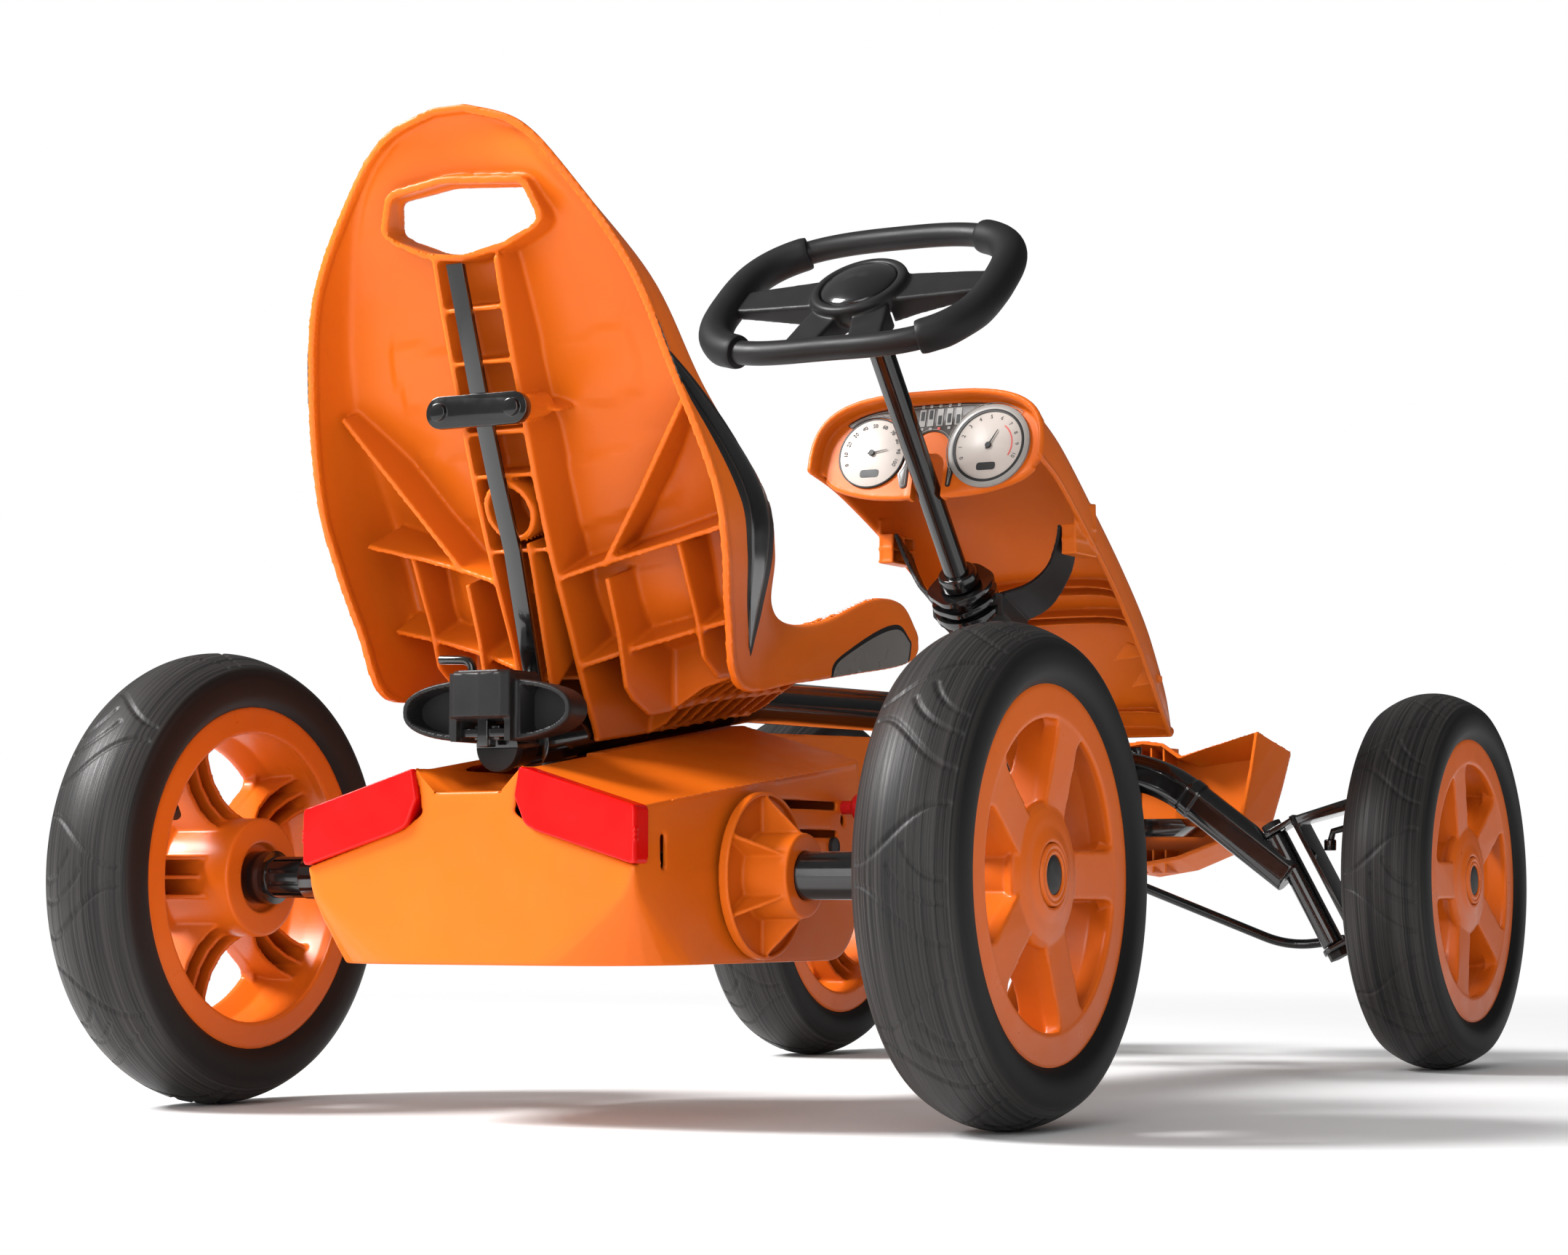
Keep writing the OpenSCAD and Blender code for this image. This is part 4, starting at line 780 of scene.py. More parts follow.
def seat():
    b = Build()
    front, rear = seat_grid(0), seat_grid(4.4)
    tree = bvh_of(rear)
    # the sheet: front skin, rear skin, joined round the edge
    rows = [list(f) + list(reversed(r)) for f, r in zip(front, rear)]
    b.put(*loft(rows))
    # lip round the edge
    edge = [r[0] for r in front] 
    other = [r[-1] for r in front]
    line = [Vector(p) for p in list(reversed(edge)) + other]
    into = []
    for i in range(len(front) - 1, -1, -1):
        into.append((Vector(front[i][5]) - Vector(front[i][0])).normalized())
    for i in range(len(front)):
        into.append((Vector(front[i][-6]) - Vector(front[i][-1])).normalized())
    rows = []
    for i, p in enumerate(line):
        t = (line[min(i + 1, len(line) - 1)] - line[max(i - 1, 0)]).normalized()
        s = into[i]
        o = t.cross(s).normalized()
        if o.x * p.x < 0 and abs(p.x) > 20 or (abs(p.x) <= 20 and o.z < 0):
            o = -o
        rows.append([p + o * 0.9 - s * 1.2, p - o * 5.6 - s * 1.2, p - o * 5.2 + s * 5.5, p + o * 0.3 + s * 5.5])
    b.put(*loft(rows))
    up = lambda k: (0, -1, k)
    # frame of the hand hole
    hand = rounded(HAND, [10, 60, 10, 7, 20, 40, 60, 40, 20, 7], 4)
    path = [(x, seat_edge_y(z) - 0.5, z) for x, z in hand]
    wall(b, path, [up(0.16)] * len(path), 6.2, tree, closed=True, fallback=18)
    # channel for the stay bar, with its rungs
    for s in (1, -1):
        zs = [634, 600, 560, 530, 500, 478, 450, 424, 400, 380, 366, 340, 316, 300, 286]
        path = [(s * 27, seat_edge_y(z) + float(np.interp(z, [274, 316, 366, 424, 478, 530], [30, 23, 15, 10, 5, 0])), z)
                for z in zs] + [(s * 27, 547, 284), (s * 27, 489, 291), (s * 27, 430, 299), (s * 27, 350, 311), (s * 27, 303, 315)]
        aims = [up(0.25)] * 9 + [up(0.45), up(0.6), up(0.8), up(1.0), up(1.4), up(2.2)] + [up(5)] * 5
        wall(b, path, aims, 4.6, tree, fallback=60)
        zs = [430, 405, 380, 350, 318]
        path = [(s * 10.5, stay_y(z) - 2, z) for z in zs]
        wall(b, path, [up(0.3), up(0.4), up(0.5), up(0.7), up(0.9)], 3.2, tree, fallback=60)
        # inner rib that runs on under the pan
        path = [(s * 62, y, z) for y, z in ((588, 404), (571, 363), (560, 324), (550, 315), (525, 304), (491, 309),
                                            (452, 316), (408, 322), (359, 327), (320, 332))]
        wall(b, path, [up(0.3), up(0.5), up(1.0), up(1.4), up(3), up(5)] + [up(9)] * 4, 4.2, tree, fallback=50)
        # outer rib
        path = [(s * 118.5, y, z) for y, z in ((580, 428), (566, 400), (553, 375), (542, 345), (520, 331), (490, 334),
                                               (455, 340))]
        wall(b, path, [up(0.3), up(0.4), up(0.6), up(1.2), up(3), up(6), up(9)], 4.2, tree, fallback=40)
        # braces and shelves
        path = [on_back(s * x, z) for x, z in ((62, 412), (100, 462), (152, 532))]
        wall(b, path, [up(0.35)] * 3, 4.4, tree, fallback=12)
        path = [on_back(s * x, z) for x, z in ((27, 403), (62, 414), (100, 424), (158, 438))]
        wall(b, path, [up(0.42)] * 4, 4.0, tree, fallback=12)
        path = [on_back(s * x, z) for x, z in ((27, 339), (62, 351), (118, 366), (156, 374))]
        wall(b, path, [up(0.5)] * 4, 4.0, tree, fallback=12)
        path = [on_back(s * x, 526, e) for x, e in ((27, 0), (36, -4), (46, -22))]
        wall(b, path, [up(0.3)] * 3, 3.4, tree, fallback=12)
        # cross wall and fins under the pan
        for y, lows in [(490, ((62, 309), (90, 326), (119, 334)))]:
            wall(b, [(s * x, y, z) for x, z in lows], [(0, 0, 1)] * 3, 3.6, tree, fallback=25)
        for k in range(9):
            y = 468 - 20 * k
            low = 293 + (468 - y) * 0.135
            high = 313 + (468 - y) * 0.115
            path = [(s * x, y + (x - 27) * 0.22, z) for x, z in ((27, low), (45, low + 7), (62, high), (92, high + 15), (122, high + 22))]
            wall(b, path, [(0, -0.25, 1)] * 5, 2.8, tree, fallback=25)
    for z in (598, 560, 510, 479, 425):
        path = [on_back(x, z, -0.4) for x in (-27, 0, 27)]
        wall(b, path, [up(0.25)] * 3, 3.2, tree, fallback=20)
    for z, e in ((398, -22), (366, -28), (334, -34)):
        path = [on_back(x, z, e) for x in (-27, 0, 27)]
        wall(b, path, [up(0.5)] * 3, 3.2, tree, fallback=30)
    ring = [(19.4 * math.cos(k * math.pi / 16), 453 + 19.4 * math.sin(k * math.pi / 16)) for k in range(32)]
    path = [(x, seat_edge_y(z) + 9, z) for x, z in ring]
    wall(b, path, [up(0.3)] * 32, 4.4, tree, closed=True, fallback=40, spacing=50)
    # posts for the clamp screws
    for s in (1, -1):
        y = stay_y(524)
        b.put(*tube_path([(s * 32, y + 5.5, 524), (s * 32, y - 30, 532)], 9.5, 24))
        b.put(*tube_path([(s * 32, 609, 312), (s * 32, 560, 312)], 6, 16)) if False else None
    cut = Build()
    hole = rounded([(x * 0.955, 663 + (z - 663) * 0.89) for x, z in HAND], [8, 60, 8, 6, 20, 40, 60, 40, 20, 6], 4)
    cut.put(*loft([[(x, 720, z - 6) for x, z in hole], [(x, 560, z + 19) for x, z in hole]]))
    make("seat_moulding", b, "orange", "seat", ("seat_shell",), voxel=1.55, smooth=4, cut=cut)
    trims(bvh_of(front))


def patch(name, a, c, mat, tree, side, lift, thick=1.2, n=60, m=12, replaces=()):
    """Thin inlay between two side-view lines, laid on the shell."""
    a, c = catmull(a, 10), catmull(c, 10)
    pick = lambda line, t: Vector(line[min(len(line) - 1, int(round(t * (len(line) - 1))))])
    top, low = [], []
    def along(line, t):
        x = t * (len(line) - 1)
        i = min(int(x), len(line) - 2)
        return Vector(line[i]).lerp(Vector(line[i + 1]), x - i)
    for i in range(n + 1):
        t = i / n
        p, q = along(a, t), along(c, t)
        for j in range(m + 1):
            y, z = p.lerp(q, j / m)
            hit = tree.ray_cast((side * 260, y, z), (-side, 0, 0))
            if hit[0] is None:
                hit = tree.find_nearest((side * 170, y, z))
            nrm = hit[1] if hit[1].x * side > 0 else -hit[1]
            fade = min(j, m - j) > 0 and 0 < i < n
            top.append(hit[0] + nrm * (lift if fade else lift - 0.5))
            low.append(hit[0] - nrm * thick)
    k = len(top)
    idx = lambda i, j: i * (m + 1) + j
    faces = []
    for i in range(n):
        for j in range(m):
            faces.append((idx(i, j), idx(i, j + 1), idx(i + 1, j + 1), idx(i + 1, j)))
            faces.append((k + idx(i, j), k + idx(i + 1, j), k + idx(i + 1, j + 1), k + idx(i, j + 1)))
    rim = ([idx(i, 0) for i in range(n + 1)] + [idx(n, j) for j in range(1, m + 1)]
           + [idx(i, m) for i in range(n - 1, -1, -1)] + [idx(0, j) for j in range(m - 1, 0, -1)])
    for u, v in zip(rim, rim[1:] + rim[:1]):
        faces.append((u, v, k + v, k + u))
    b = Build()
    b.put(top + low, faces)
    return make(name, b, mat, "seat", replaces, angle=60)


def inset(a, c, f, e):
    """Narrower copy of a pair of lines."""
    n = len(a)
    mid = [(Vector(p) + Vector(q)) / 2 for p, q in zip(a, c)]
    ends = mid[0].lerp(mid[-1], 0.5)
    squeeze = lambda p, m: tuple((m + (Vector(p) - m) * f) * (1 - e) + ends * e)
    return [squeeze(p, m) for p, m in zip(a, mid)], [squeeze(q, m) for q, m in zip(c, mid)]


def trims(tree):
    leaf_a = [(698, 581), (663, 560), (628, 541), (590, 517), (556, 495), (533, 477), (526, 445), (528, 410), (534, 375), (545, 345)]
    leaf_c = [(698, 581), (680, 563), (662, 544), (640, 521), (616, 494), (597, 470), (582, 448), (572, 420), (561, 385), (545, 345)]
    wing_a = [(424, 335), (416, 348), (388, 361), (351, 375), (322, 383), (304, 383), (290, 371)]
    wing_c = [(424, 335), (408, 331), (385, 332), (350, 336), (318, 340), (298, 347), (290, 371)]
    for side, tag in ((-1, "right"), (1, "left")):
        patch("seat_leaf_" + tag, leaf_a, leaf_c, "dark", tree, side, 0.7, replaces=("seat_trims",) if side < 0 else ())
        patch("seat_leaf_line_" + tag, *inset(leaf_a, leaf_c, 0.70, 0.035), "leaf_trim", tree, side, 1.0)
        patch("seat_leaf_core_" + tag, *inset(leaf_a, leaf_c, 0.62, 0.05), "gloss_black", tree, side, 1.2)
        patch("seat_wing_edge_" + tag, wing_a, wing_c, "dark", tree, side, 0.7)
        patch("seat_wing_inlay_" + tag, *inset(wing_a, wing_c, 0.90, 0.05), "grey_trim", tree, side, 1.1)


seat()


# ---------------------------------------------------------------- steering wheel
COL = Vector((0, 0.640110, 0.768284))
FOOT = Vector((0, -181, 431))


def on_column(s, turned=True):
    """Frame on the steering column, s mm up from its foot; y is up and away from the driver."""
    o = FOOT + COL * s
    k = -1 if turned else 1
    return Matrix(((k, 0, 0, o.x), (0, k * COL.z, COL.y, o.y), (0, -k * COL.y, COL.z, o.z), (0, 0, 0, 1)))


def wheel_pt(a):
    c, s = math.cos(a), math.sin(a)
    x = math.copysign(abs(c) ** (2 / 2.9), c) * 135
    y = math.copysign(abs(s) ** (2 / 2.9), s) * 99
    if y < 0:
        y += 7 * math.cos(x * math.pi / 270) ** 2
    return (x, y, 0)


def even(points, closed, gap):
    """Points again, at an even spacing."""
    p = [Vector(q) for q in points] + ([Vector(points[0])] if closed else [])
    out, carry = [p[0]], 0.0
    for a, b in zip(p, p[1:]):
        d = (b - a).length
        while d > 0 and carry + d >= gap:
            t = (gap - carry) / d
            a = a.lerp(b, t)
            out.append(a)
            d = (b - a).length
            carry = 0.0
        carry += d
    return out


def steering():
    at = on_column(357)
    lz = lambda u, r, a: (r * math.cos(a), r * math.sin(a), u)
    b = Build()
    ring = even([wheel_pt(math.radians(k)) for k in range(360)], True, 5)[:-1]
    b.put(*tube_path(ring, 11, 28, closed=True))
    hub = [(11.6, -17), (24, -17), (34, -13), (43.5, -4), (45.6, 2), (46, 7.5), (45, 10.6), (42.5, 12.2), (38.5, 12.2),
           (36.6, 11), (36.2, 7), (11.6, 7)]
    b.put(*lathe(hub, 72, lz))
    for s in (-1, 1):
        def blade(x, w, top, low):
            return [(s * x, -w + 1, low), (s * x, -w, low + 1.4), (s * x, -w, top - 2), (s * x, -w + 2, top), (s * x, w - 2, top),
                    (s * x, w, top - 2), (s * x, w, low + 1.4), (s * x, w - 1, low)]
        b.put(*loft([blade(36, 23, 5.5, -19), blade(60, 21.5, 5.2, -14), (blade(100, 19, 4.6, -8)), blade(128, 16, 4, -5)]))
        foot = lambda y, x0, x1, top, low: [(s * x0, y, low), (s * x1, y, low), (s * x1, y, top - 1.5), (s * (x1 - 1.5), y, top),
                                            (s * (x0 + 1.5), y, top), (s * x0, y, top - 1.5)]
        b.put(*loft([foot(-28, 4, 38, 4, -20), foot(-50, 9, 43, 3, -16), foot(-70, 14, 47, 2, -11), foot(-92, 19, 51, 1, -6)]))
    make("steering_wheel_body", b, "dark", "steering", ("steering_wheel",), voxel=1.25, smooth=3, matrix=mm(at), angle=70)
    for s, tag in ((1, "right"), (-1, "left")):
        turn = 0 if s > 0 else math.pi
        line = even([wheel_pt(turn + math.radians(k)) for k in range(-57, 59)], False, 2.5)
        n = len(line)
        rows, side = [], None
        for i, p in enumerate(line):
            t = (line[min(i + 1, n - 1)] - line[max(i - 1, 0)]).normalized()
            out = Vector((t.y, -t.x, 0))
            f = i / (n - 1)
            base = 15.6 - 0.9 * max(0, 1 - min(i, n - 1 - i) / 1.5)
            row = []
            for j in range(36):
                a = 2 * math.pi * j / 36
                low = max(0, -math.sin(a + 0.5 * (1 if s > 0 else -1))) ** 1.5
                g = f if s > 0 else 1 - f
                wave = 1.5 * low * (0.5 - 0.5 * math.cos(g * 2 * math.pi * 5.2)) * step(g, 0.03, 0.12) * step(0.78 - g, 0, 0.1)
                r = base + wave
                row.append(p + out * r * math.cos(a) + Vector((0, 0, 1)) * r * math.sin(a))
            rows.append(row)
        g = Build()
        g.put(*loft(rows))
        make("wheel_grip_" + tag, g, "grip", "steering", ("wheel_grips",) if s > 0 else (), bevel=0.5, matrix=mm(at), angle=50)
    cap = [(0.01, 20.2), (8, 19.9), (16, 18.8), (24, 16.8), (30, 14.5), (34, 12.4), (35.4, 10.8), (35.6, 8), (0.01, 8)]
    b = Build()
    b.put(*lathe(cap, 72, lz))
    make("steering_cap_dome", b, "gloss_black", "steering", ("wheel_cap",), matrix=mm(at), angle=50)
    # collar under the wheel: two folded flanges
    b = Build()
    low = on_column(18.2)
    b.put(*lathe([(11.6, 0), (24, 0), (24, 13), (22, 14), (11.6, 14)], 48, lz))
    b.put(*lathe([(11.6, 21), (19, 21), (18.4, 33), (17, 35), (11.6, 35)], 48, lz))
    for z0, turn in ((3, 0.35), (16, 0.62)):
        n = 64
        top, bot = [], []
        for i in range(n):
            a = 2 * math.pi * i / n
            fold = 2.6 * abs(((a + turn) / (math.pi / 3)) % 2 - 1)
            r = 31.5 + 0.9 * math.cos(6 * (a + turn))
            top.append((r * math.cos(a), r * math.sin(a), z0 + 3.6 + fold))
            bot.append((r * math.cos(a), r * math.sin(a), z0 + fold - 1.4))
        ring_in = lambda z: [(12 * math.cos(2 * math.pi * i / n), 12 * math.sin(2 * math.pi * i / n), z) for i in range(n)]
        b.put(*loft([ring_in(z0), bot, top, ring_in(z0 + 2.4)], closed_rows=True))
    make("steering_collar_body", b, "black_steel", "steering", ("steering_collar",), bevel=0.4, matrix=mm(low), angle=30)


def mm(m):
    """The same placement for a mesh already in metres."""
    m = m.copy()
    m.translation = m.translation * MM
    return m


# ---------------------------------------------------------------- console
HOOD = [(-76, 566, 118, -96, 634), (-130, 549, 113, -168, 606), (-219, 506, 104, -262, 556), (-299, 460, 98, -345, 505),
        (-355, 418, 95, -412, 455), (-395, 389, 91, -455, 412), (-440, 360, 84, -494, 370), (-503, 331, 70, -520, 343)]
DASH = (Matrix.Translation((0, -95, 580)) @ Matrix.Rotation(math.pi, 4, "Z")
        @ Matrix.Rotation(math.radians(90 - 15.8), 4, "X"))
LEFT, RIGHT = -60, 60


def hood_ring(s, m, n=56):
    e, c = Vector((0, s[0], s[1])), Vector((0, s[3], s[4]))
    up = (c - e).normalized()
    ring = []
    for k in range(n + 1):
        a = math.pi * k / n
        h = math.sin(a) ** 0.62 if 0 < k < n else 0
        p = e + (c - e) * h - up * (h * m)
        ca = math.cos(a)
        ring.append(Vector((math.copysign(abs(ca) ** 0.62, ca) * (s[2] - m), p.y, p.z)))
    return ring


def face_outline(m, top=48):
    pts = []
    for k in range(25):
        a = math.radians(7.5 * k)
        c, s = math.cos(a), max(0, math.sin(a))
        pts.append((math.copysign(abs(c) ** 0.62, c) * (112 - m), -14 + s ** 0.62 * (top + 14 - m)))
    for x, y in ((-112, -16), (-92, -32), (-60, -41), (-26, -44), (26, -44), (60, -41), (92, -32), (112, -16)):
        pts.append((x - math.copysign(m, x) * (abs(x) > 90), y + m))
    return pts


def disc(r, x, y, z0, z1, steps=64, inner=0.0):
    """Flat disc or ring on the dash face."""
    prof = [(max(inner, 0.01), z0), (r, z0), (r, z1 - 0.25), (r - 0.3, z1), (max(inner, 0.01), z1)]
    v, f = lathe(prof, steps, lambda u, q, a: (x + q * math.cos(a), y + q * math.sin(a), u))
    return v, f


def plate(x, y, w, h, z0, z1, turn=0.0, r=0.4):
    c, s = math.cos(turn), math.sin(turn)
    box = rounded([(-w / 2, -h / 2), (w / 2, -h / 2), (w / 2, h / 2), (-w / 2, h / 2)], min(r, w / 3, h / 3), 2)
    return slab([(x + c * a - s * d, y + s * a + c * d) for a, d in box], z0, z1)


def digits(items, z, height, name, mat):
    """Numbers on a dial, as one thin mesh: (text, x, y, turn) in dash space."""
    parts = bmesh.new()
    for text, x, y, turn in items:
        cu = bpy.data.curves.new("t", "FONT")
        cu.body = text
        cu.size = height
        cu.align_x = "CENTER"
        cu.align_y = "CENTER"
        cu.extrude = 0.12
        cu.resolution_u = 3
        ob = bpy.data.objects.new("t", cu)
        bpy.context.scene.collection.objects.link(ob)
        bpy.context.view_layer.update()
        me = bpy.data.meshes.new_from_object(ob.evaluated_get(bpy.context.evaluated_depsgraph_get()))
        me.transform(Matrix.Translation((x, y, z)) @ Matrix.Rotation(turn, 4, "Z"))
        parts.from_mesh(me)
        bpy.data.objects.remove(ob)
    me = bpy.data.meshes.new(name)
    parts.to_mesh(me)
    parts.free()
    me.transform(Matrix.Scale(MM, 4) @ DASH)
    ob = bpy.data.objects.new(name, me)
    bpy.context.scene.collection.objects.link(ob)
    me.materials.clear()
    me.materials.append(M[mat])
    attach(ob, "frame")


def console():
    b = Build()
    steps = 60
    rows = [spline(HOOD, 7 * i / steps) for i in range(steps + 1)]
    outer = [hood_ring(s, 0) for s in rows]
    inner = [hood_ring(s, 3.4) for s in rows]
    b.put(*loft([list(o) + list(reversed(q)) for o, q in zip(outer, inner)]))
    b.put(*tube_path(outer[0], 3.0, 12))
    for k in (0, -1):
        b.put(*tube_path([r[k] for r in outer], 2.6, 12))
    b.put(*tube_path(outer[-1], 2.6, 12))
    # nose floor
    end = rows[-1]
    b.put(*loft([hood_ring(end, 0.5), hood_ring((end[0] - 3, end[1] - 2, end[2], end[3] - 3, end[4] - 2), 0.5)]))
    from mathutils.bvhtree import BVHTree
    v, f = loft(inner, cap=False)
    tree = BVHTree.FromPolygons([tuple(p) for p in v], f)
    # dash face
    start = len(b.v)
    b.put(*slab(face_outline(-3, 54), -4, 2.2))
    lower = [(x, y, -1) for x, y in ((106, -22), (92, -32.5), (60, -41.5), (24, -44.5))]
    for s in (1, -1):
        b.put(*tube_path(catmull([(s * x, y, z) for x, y, z in lower], 6), 3.6, 14))
    arch = rounded([(-20, -47), (-20, 2), (0, 22), (20, 2), (20, -47)], [0, 14, 16, 14, 0], 6)
    b.put(*slab(arch, -9, 2.6))
    b.move(DASH, start)
    # cross ribs
    for t, deep in ((3.42, 15), (3.58, 15), (3.98, 17), (4.14, 17), (6.35, 14)):
        s = spline(HOOD, t)
        top, low = hood_ring(s, 1.5), []
        e, c = Vector((0, s[0], s[1])), Vector((0, s[3], s[4]))
        down = (e - c).normalized()
        a = hood_ring(s, 1.5)
        ring = [p for p in a] + [Vector((p.x * 0.97, p.y, p.z)) + down * deep * min(1, math.sin(math.pi * k / 56) * 2.2)
                                 for k, p in reversed(list(enumerate(a)))]
        shift = Vector((0, -1.5, -1.2))
        b.put(*loft([[p - shift * 0.6 for p in ring], [p + shift * 0.6 for p in ring]]))
    for s in (1, -1):
        # gussets low on the side walls
        for y, z, l in ((-392, 404, 44), (-428, 380, 38)):
            tri = [(0, 0), (-l, -8), (-l * 0.55, 30), (0, 12)]
            q = lambda x: [(s * x, y - a * 0.2, z + c) if False else (s * (93 + a * 0.9), y + c * 0.1 + x, z + c * 0.5) for a, c in tri]
            b.put(*loft([q(-1.6), q(1.6)]))
        # foot that takes the bracket
        for z in (489, 502, 515):
            b.put(*slab([(s * 88, -240), (s * 104, -240), (s * 104, -190), (s * 88, -190)], z - 1.3, z + 1.3))
        for y in (-239, -216, -192):
            v = [(s * 88, y - 1.3, 488), (s * 103, y - 1.3, 488), (s * 103, y - 1.3, 516), (s * 88, y - 1.3, 516)]
            b.put(*loft([v, [(x, y + 1.3, z) for x, _, z in v]]))
        v = [(s * 101, -240, 488), (s * 101, -190, 488), (s * 101, -190, 530), (s * 101, -240, 540)]
        b.put(*loft([v, [(x + s * 2.4, y, z) for x, y, z in v]]))
    cut = Build()
    slot = rounded([(-15.5, -70), (15.5, -70), (15.5, -4), (-15.5, -4)], [0, 0, 15, 15], 8)
    cut.put(*slab(slot, -30, 30))
    cut.move(DASH)
    make("console_hood", b, "orange", "frame", ("dash_console",), voxel=1.35, smooth=3, cut=cut, angle=50)
    # dark panel between the dials
    p = Build()
    arc = lambda cx, cy, r, a0, a1, n=14: [(cx + r * math.cos(math.radians(a0 + (a1 - a0) * i / n)),
                                            cy + r * math.sin(math.radians(a0 + (a1 - a0) * i / n))) for i in range(n + 1)]
    top = [q for q in face_outline(6.5, 52) if q[1] > 24 and abs(q[0]) < 96]
    outline = (top[::-1] + arc(RIGHT, 0, 41.3, 62, 214) + [(24, -38), (19.5, -38)] + arc(0, -2, 20.5, 0, 180)
               + [(-20.5, -36), (-27, -37)] + arc(LEFT, 0, 36.3, -38, 132))
    p.put(*slab(rounded(outline, 2.2, 3), 2.0, 3.3))
    p.move(DASH)
    make("dash_film", p, "panel", "frame", ("dash_panel",), bevel=0.25, angle=40)
    edge = Build()
    ring = rounded(outline, 3.5, 3)
    n = len(ring)
    moved = []
    for i, q in enumerate(ring):
        t = (Vector(ring[(i + 1) % n]) - Vector(ring[i - 1])).normalized()
        q = Vector(q) + Vector((t.y, -t.x)) * 2.0
        moved.append((q.x, q.y, 3.32))
    edge.put(*tube_path(moved, 0.32, 6, closed=True))
    edge.move(DASH)
    make("dash_film_line", edge, "line", "frame", angle=60)
    # dials
    g = Build()
    g.put(*disc(33.6, LEFT, 0, 2, 4.2)).put(*disc(33.6, RIGHT, 0, 2, 4.4))
    g.move(DASH)
    make("dial_faces", g, "dial", "frame", ("dash_gauges",), angle=40)
    g = Build()
    g.put(*disc(34.9, LEFT, 0, 2, 4.6, inner=33.5)).put(*disc(36.2, RIGHT, 0, 2, 5.2, inner=33.5))
    for x, a, l in ((LEFT, 9, 16), (RIGHT, 61, 17)):
        g.put(*disc(2.9, x, 0, 4.2, 6.6, 24))
        c, d = math.cos(math.radians(a)), math.sin(math.radians(a))
        g.put(*slab([(x + c * u - d * w, d * u + c * w) for u, w in ((-4, -0.8), (l, -0.12), (l, 0.12), (-4, 0.8))], 5.2, 6.0))
        g.put(*plate(x - 0.5, -20.5, 19, 7.5, 4.2, 4.75, r=3))
    g.move(DASH)
    make("dial_marks", g, "ink", "frame", angle=40)
    g = Build()
    g.put(*disc(41.2, RIGHT, 0, 2, 5.0, inner=36.0))
    bars = ((25.3, 29), (16.1, 30.5), (6.4, 29), (-3, 35), (-11.6, 34))
    for k, (x, _) in enumerate(bars):
        g.put(*plate(x, 32, 6.2, 17, 3.2, 3.9)).put(*plate(x - 0.6, 43.4, 2.9, 2.9, 3.2, 3.9))
        if k != 2:
            g.put(*plate(x + 0.6, 20.8, 2.9, 2.6, 3.2, 3.9))
    g.move(DASH)
    make("dial_ring_and_sliders", g, "trim_grey", "frame", angle=40)
    g = Build()
    for x, y in bars:
        g.put(*plate(x, y, 3.4, 9, 3.8, 4.3))
    g.move(DASH)
    make("slider_marks", g, "ink", "frame", angle=40)
    g = Build()
    g.put(*plate(6.4, 20.6, 2.9, 2.6, 3.2, 3.9))
    g.put(*slab(arc(RIGHT, 0, 24.2, 52, -28, 20) + arc(RIGHT, 0, 22.9, 52, -28, 20)[::-1], 4.3, 4.7))
    g.move(DASH)
    make("dial_red_band", g, "red_ink", "frame", angle=40)
    items = []
    for k in range(11):
        a = math.radians(203 - 22.6 * k)
        items.append((str(10 * k), LEFT + 27.2 * math.cos(a), 27.2 * math.sin(a), a - math.pi / 2))
        items.append((str(k), RIGHT + 28.4 * math.cos(a), 28.4 * math.sin(a), a - math.pi / 2))
    digits(items, 4.55, 5.4, "dial_numbers", "ink")


M["trim_grey"] = moulded("trim_grey", (0.34, 0.32, 0.30), (0.30, 0.28, 0.26), 0.3, depth=0.00001)
SLOT["trim_grey"] = "gauge_face"
steering()
console()


# ---------------------------------------------------------------- softened CAD forms
def from_cad(name, node, mat, body, voxel, smooth, extra=None, cut=None, angle=50):
    """A piece with the CAD node's form, fused with extra solids and with rounded edges."""
    b = Build()
    me = CAD[node].data
    b.put([tuple(c / MM for c in v.co) for v in me.vertices], [tuple(p.vertices) for p in me.polygons])
    if extra is not None:
        b.put(extra.v, extra.f)
    return make(name, b, mat, body, (node,), voxel=voxel, smooth=smooth, cut=cut, angle=angle)


def oval(a, c, n=48, p=2.5, y=0.0, x0=0.0, z0=0.0):
    ring = []
    for k in range(n):
        t = 2 * math.pi * k / n
        x, z = math.cos(t), math.sin(t)
        ring.append((x0 + math.copysign(abs(x) ** (2 / p), x) * a, y, z0 + math.copysign(abs(z) ** (2 / p), z) * c))
    return ring


def box(x0, x1, y0, y1, z0, z1):
    return slab([(x0, y0), (x1, y0), (x1, y1), (x0, y1)], z0, z1)


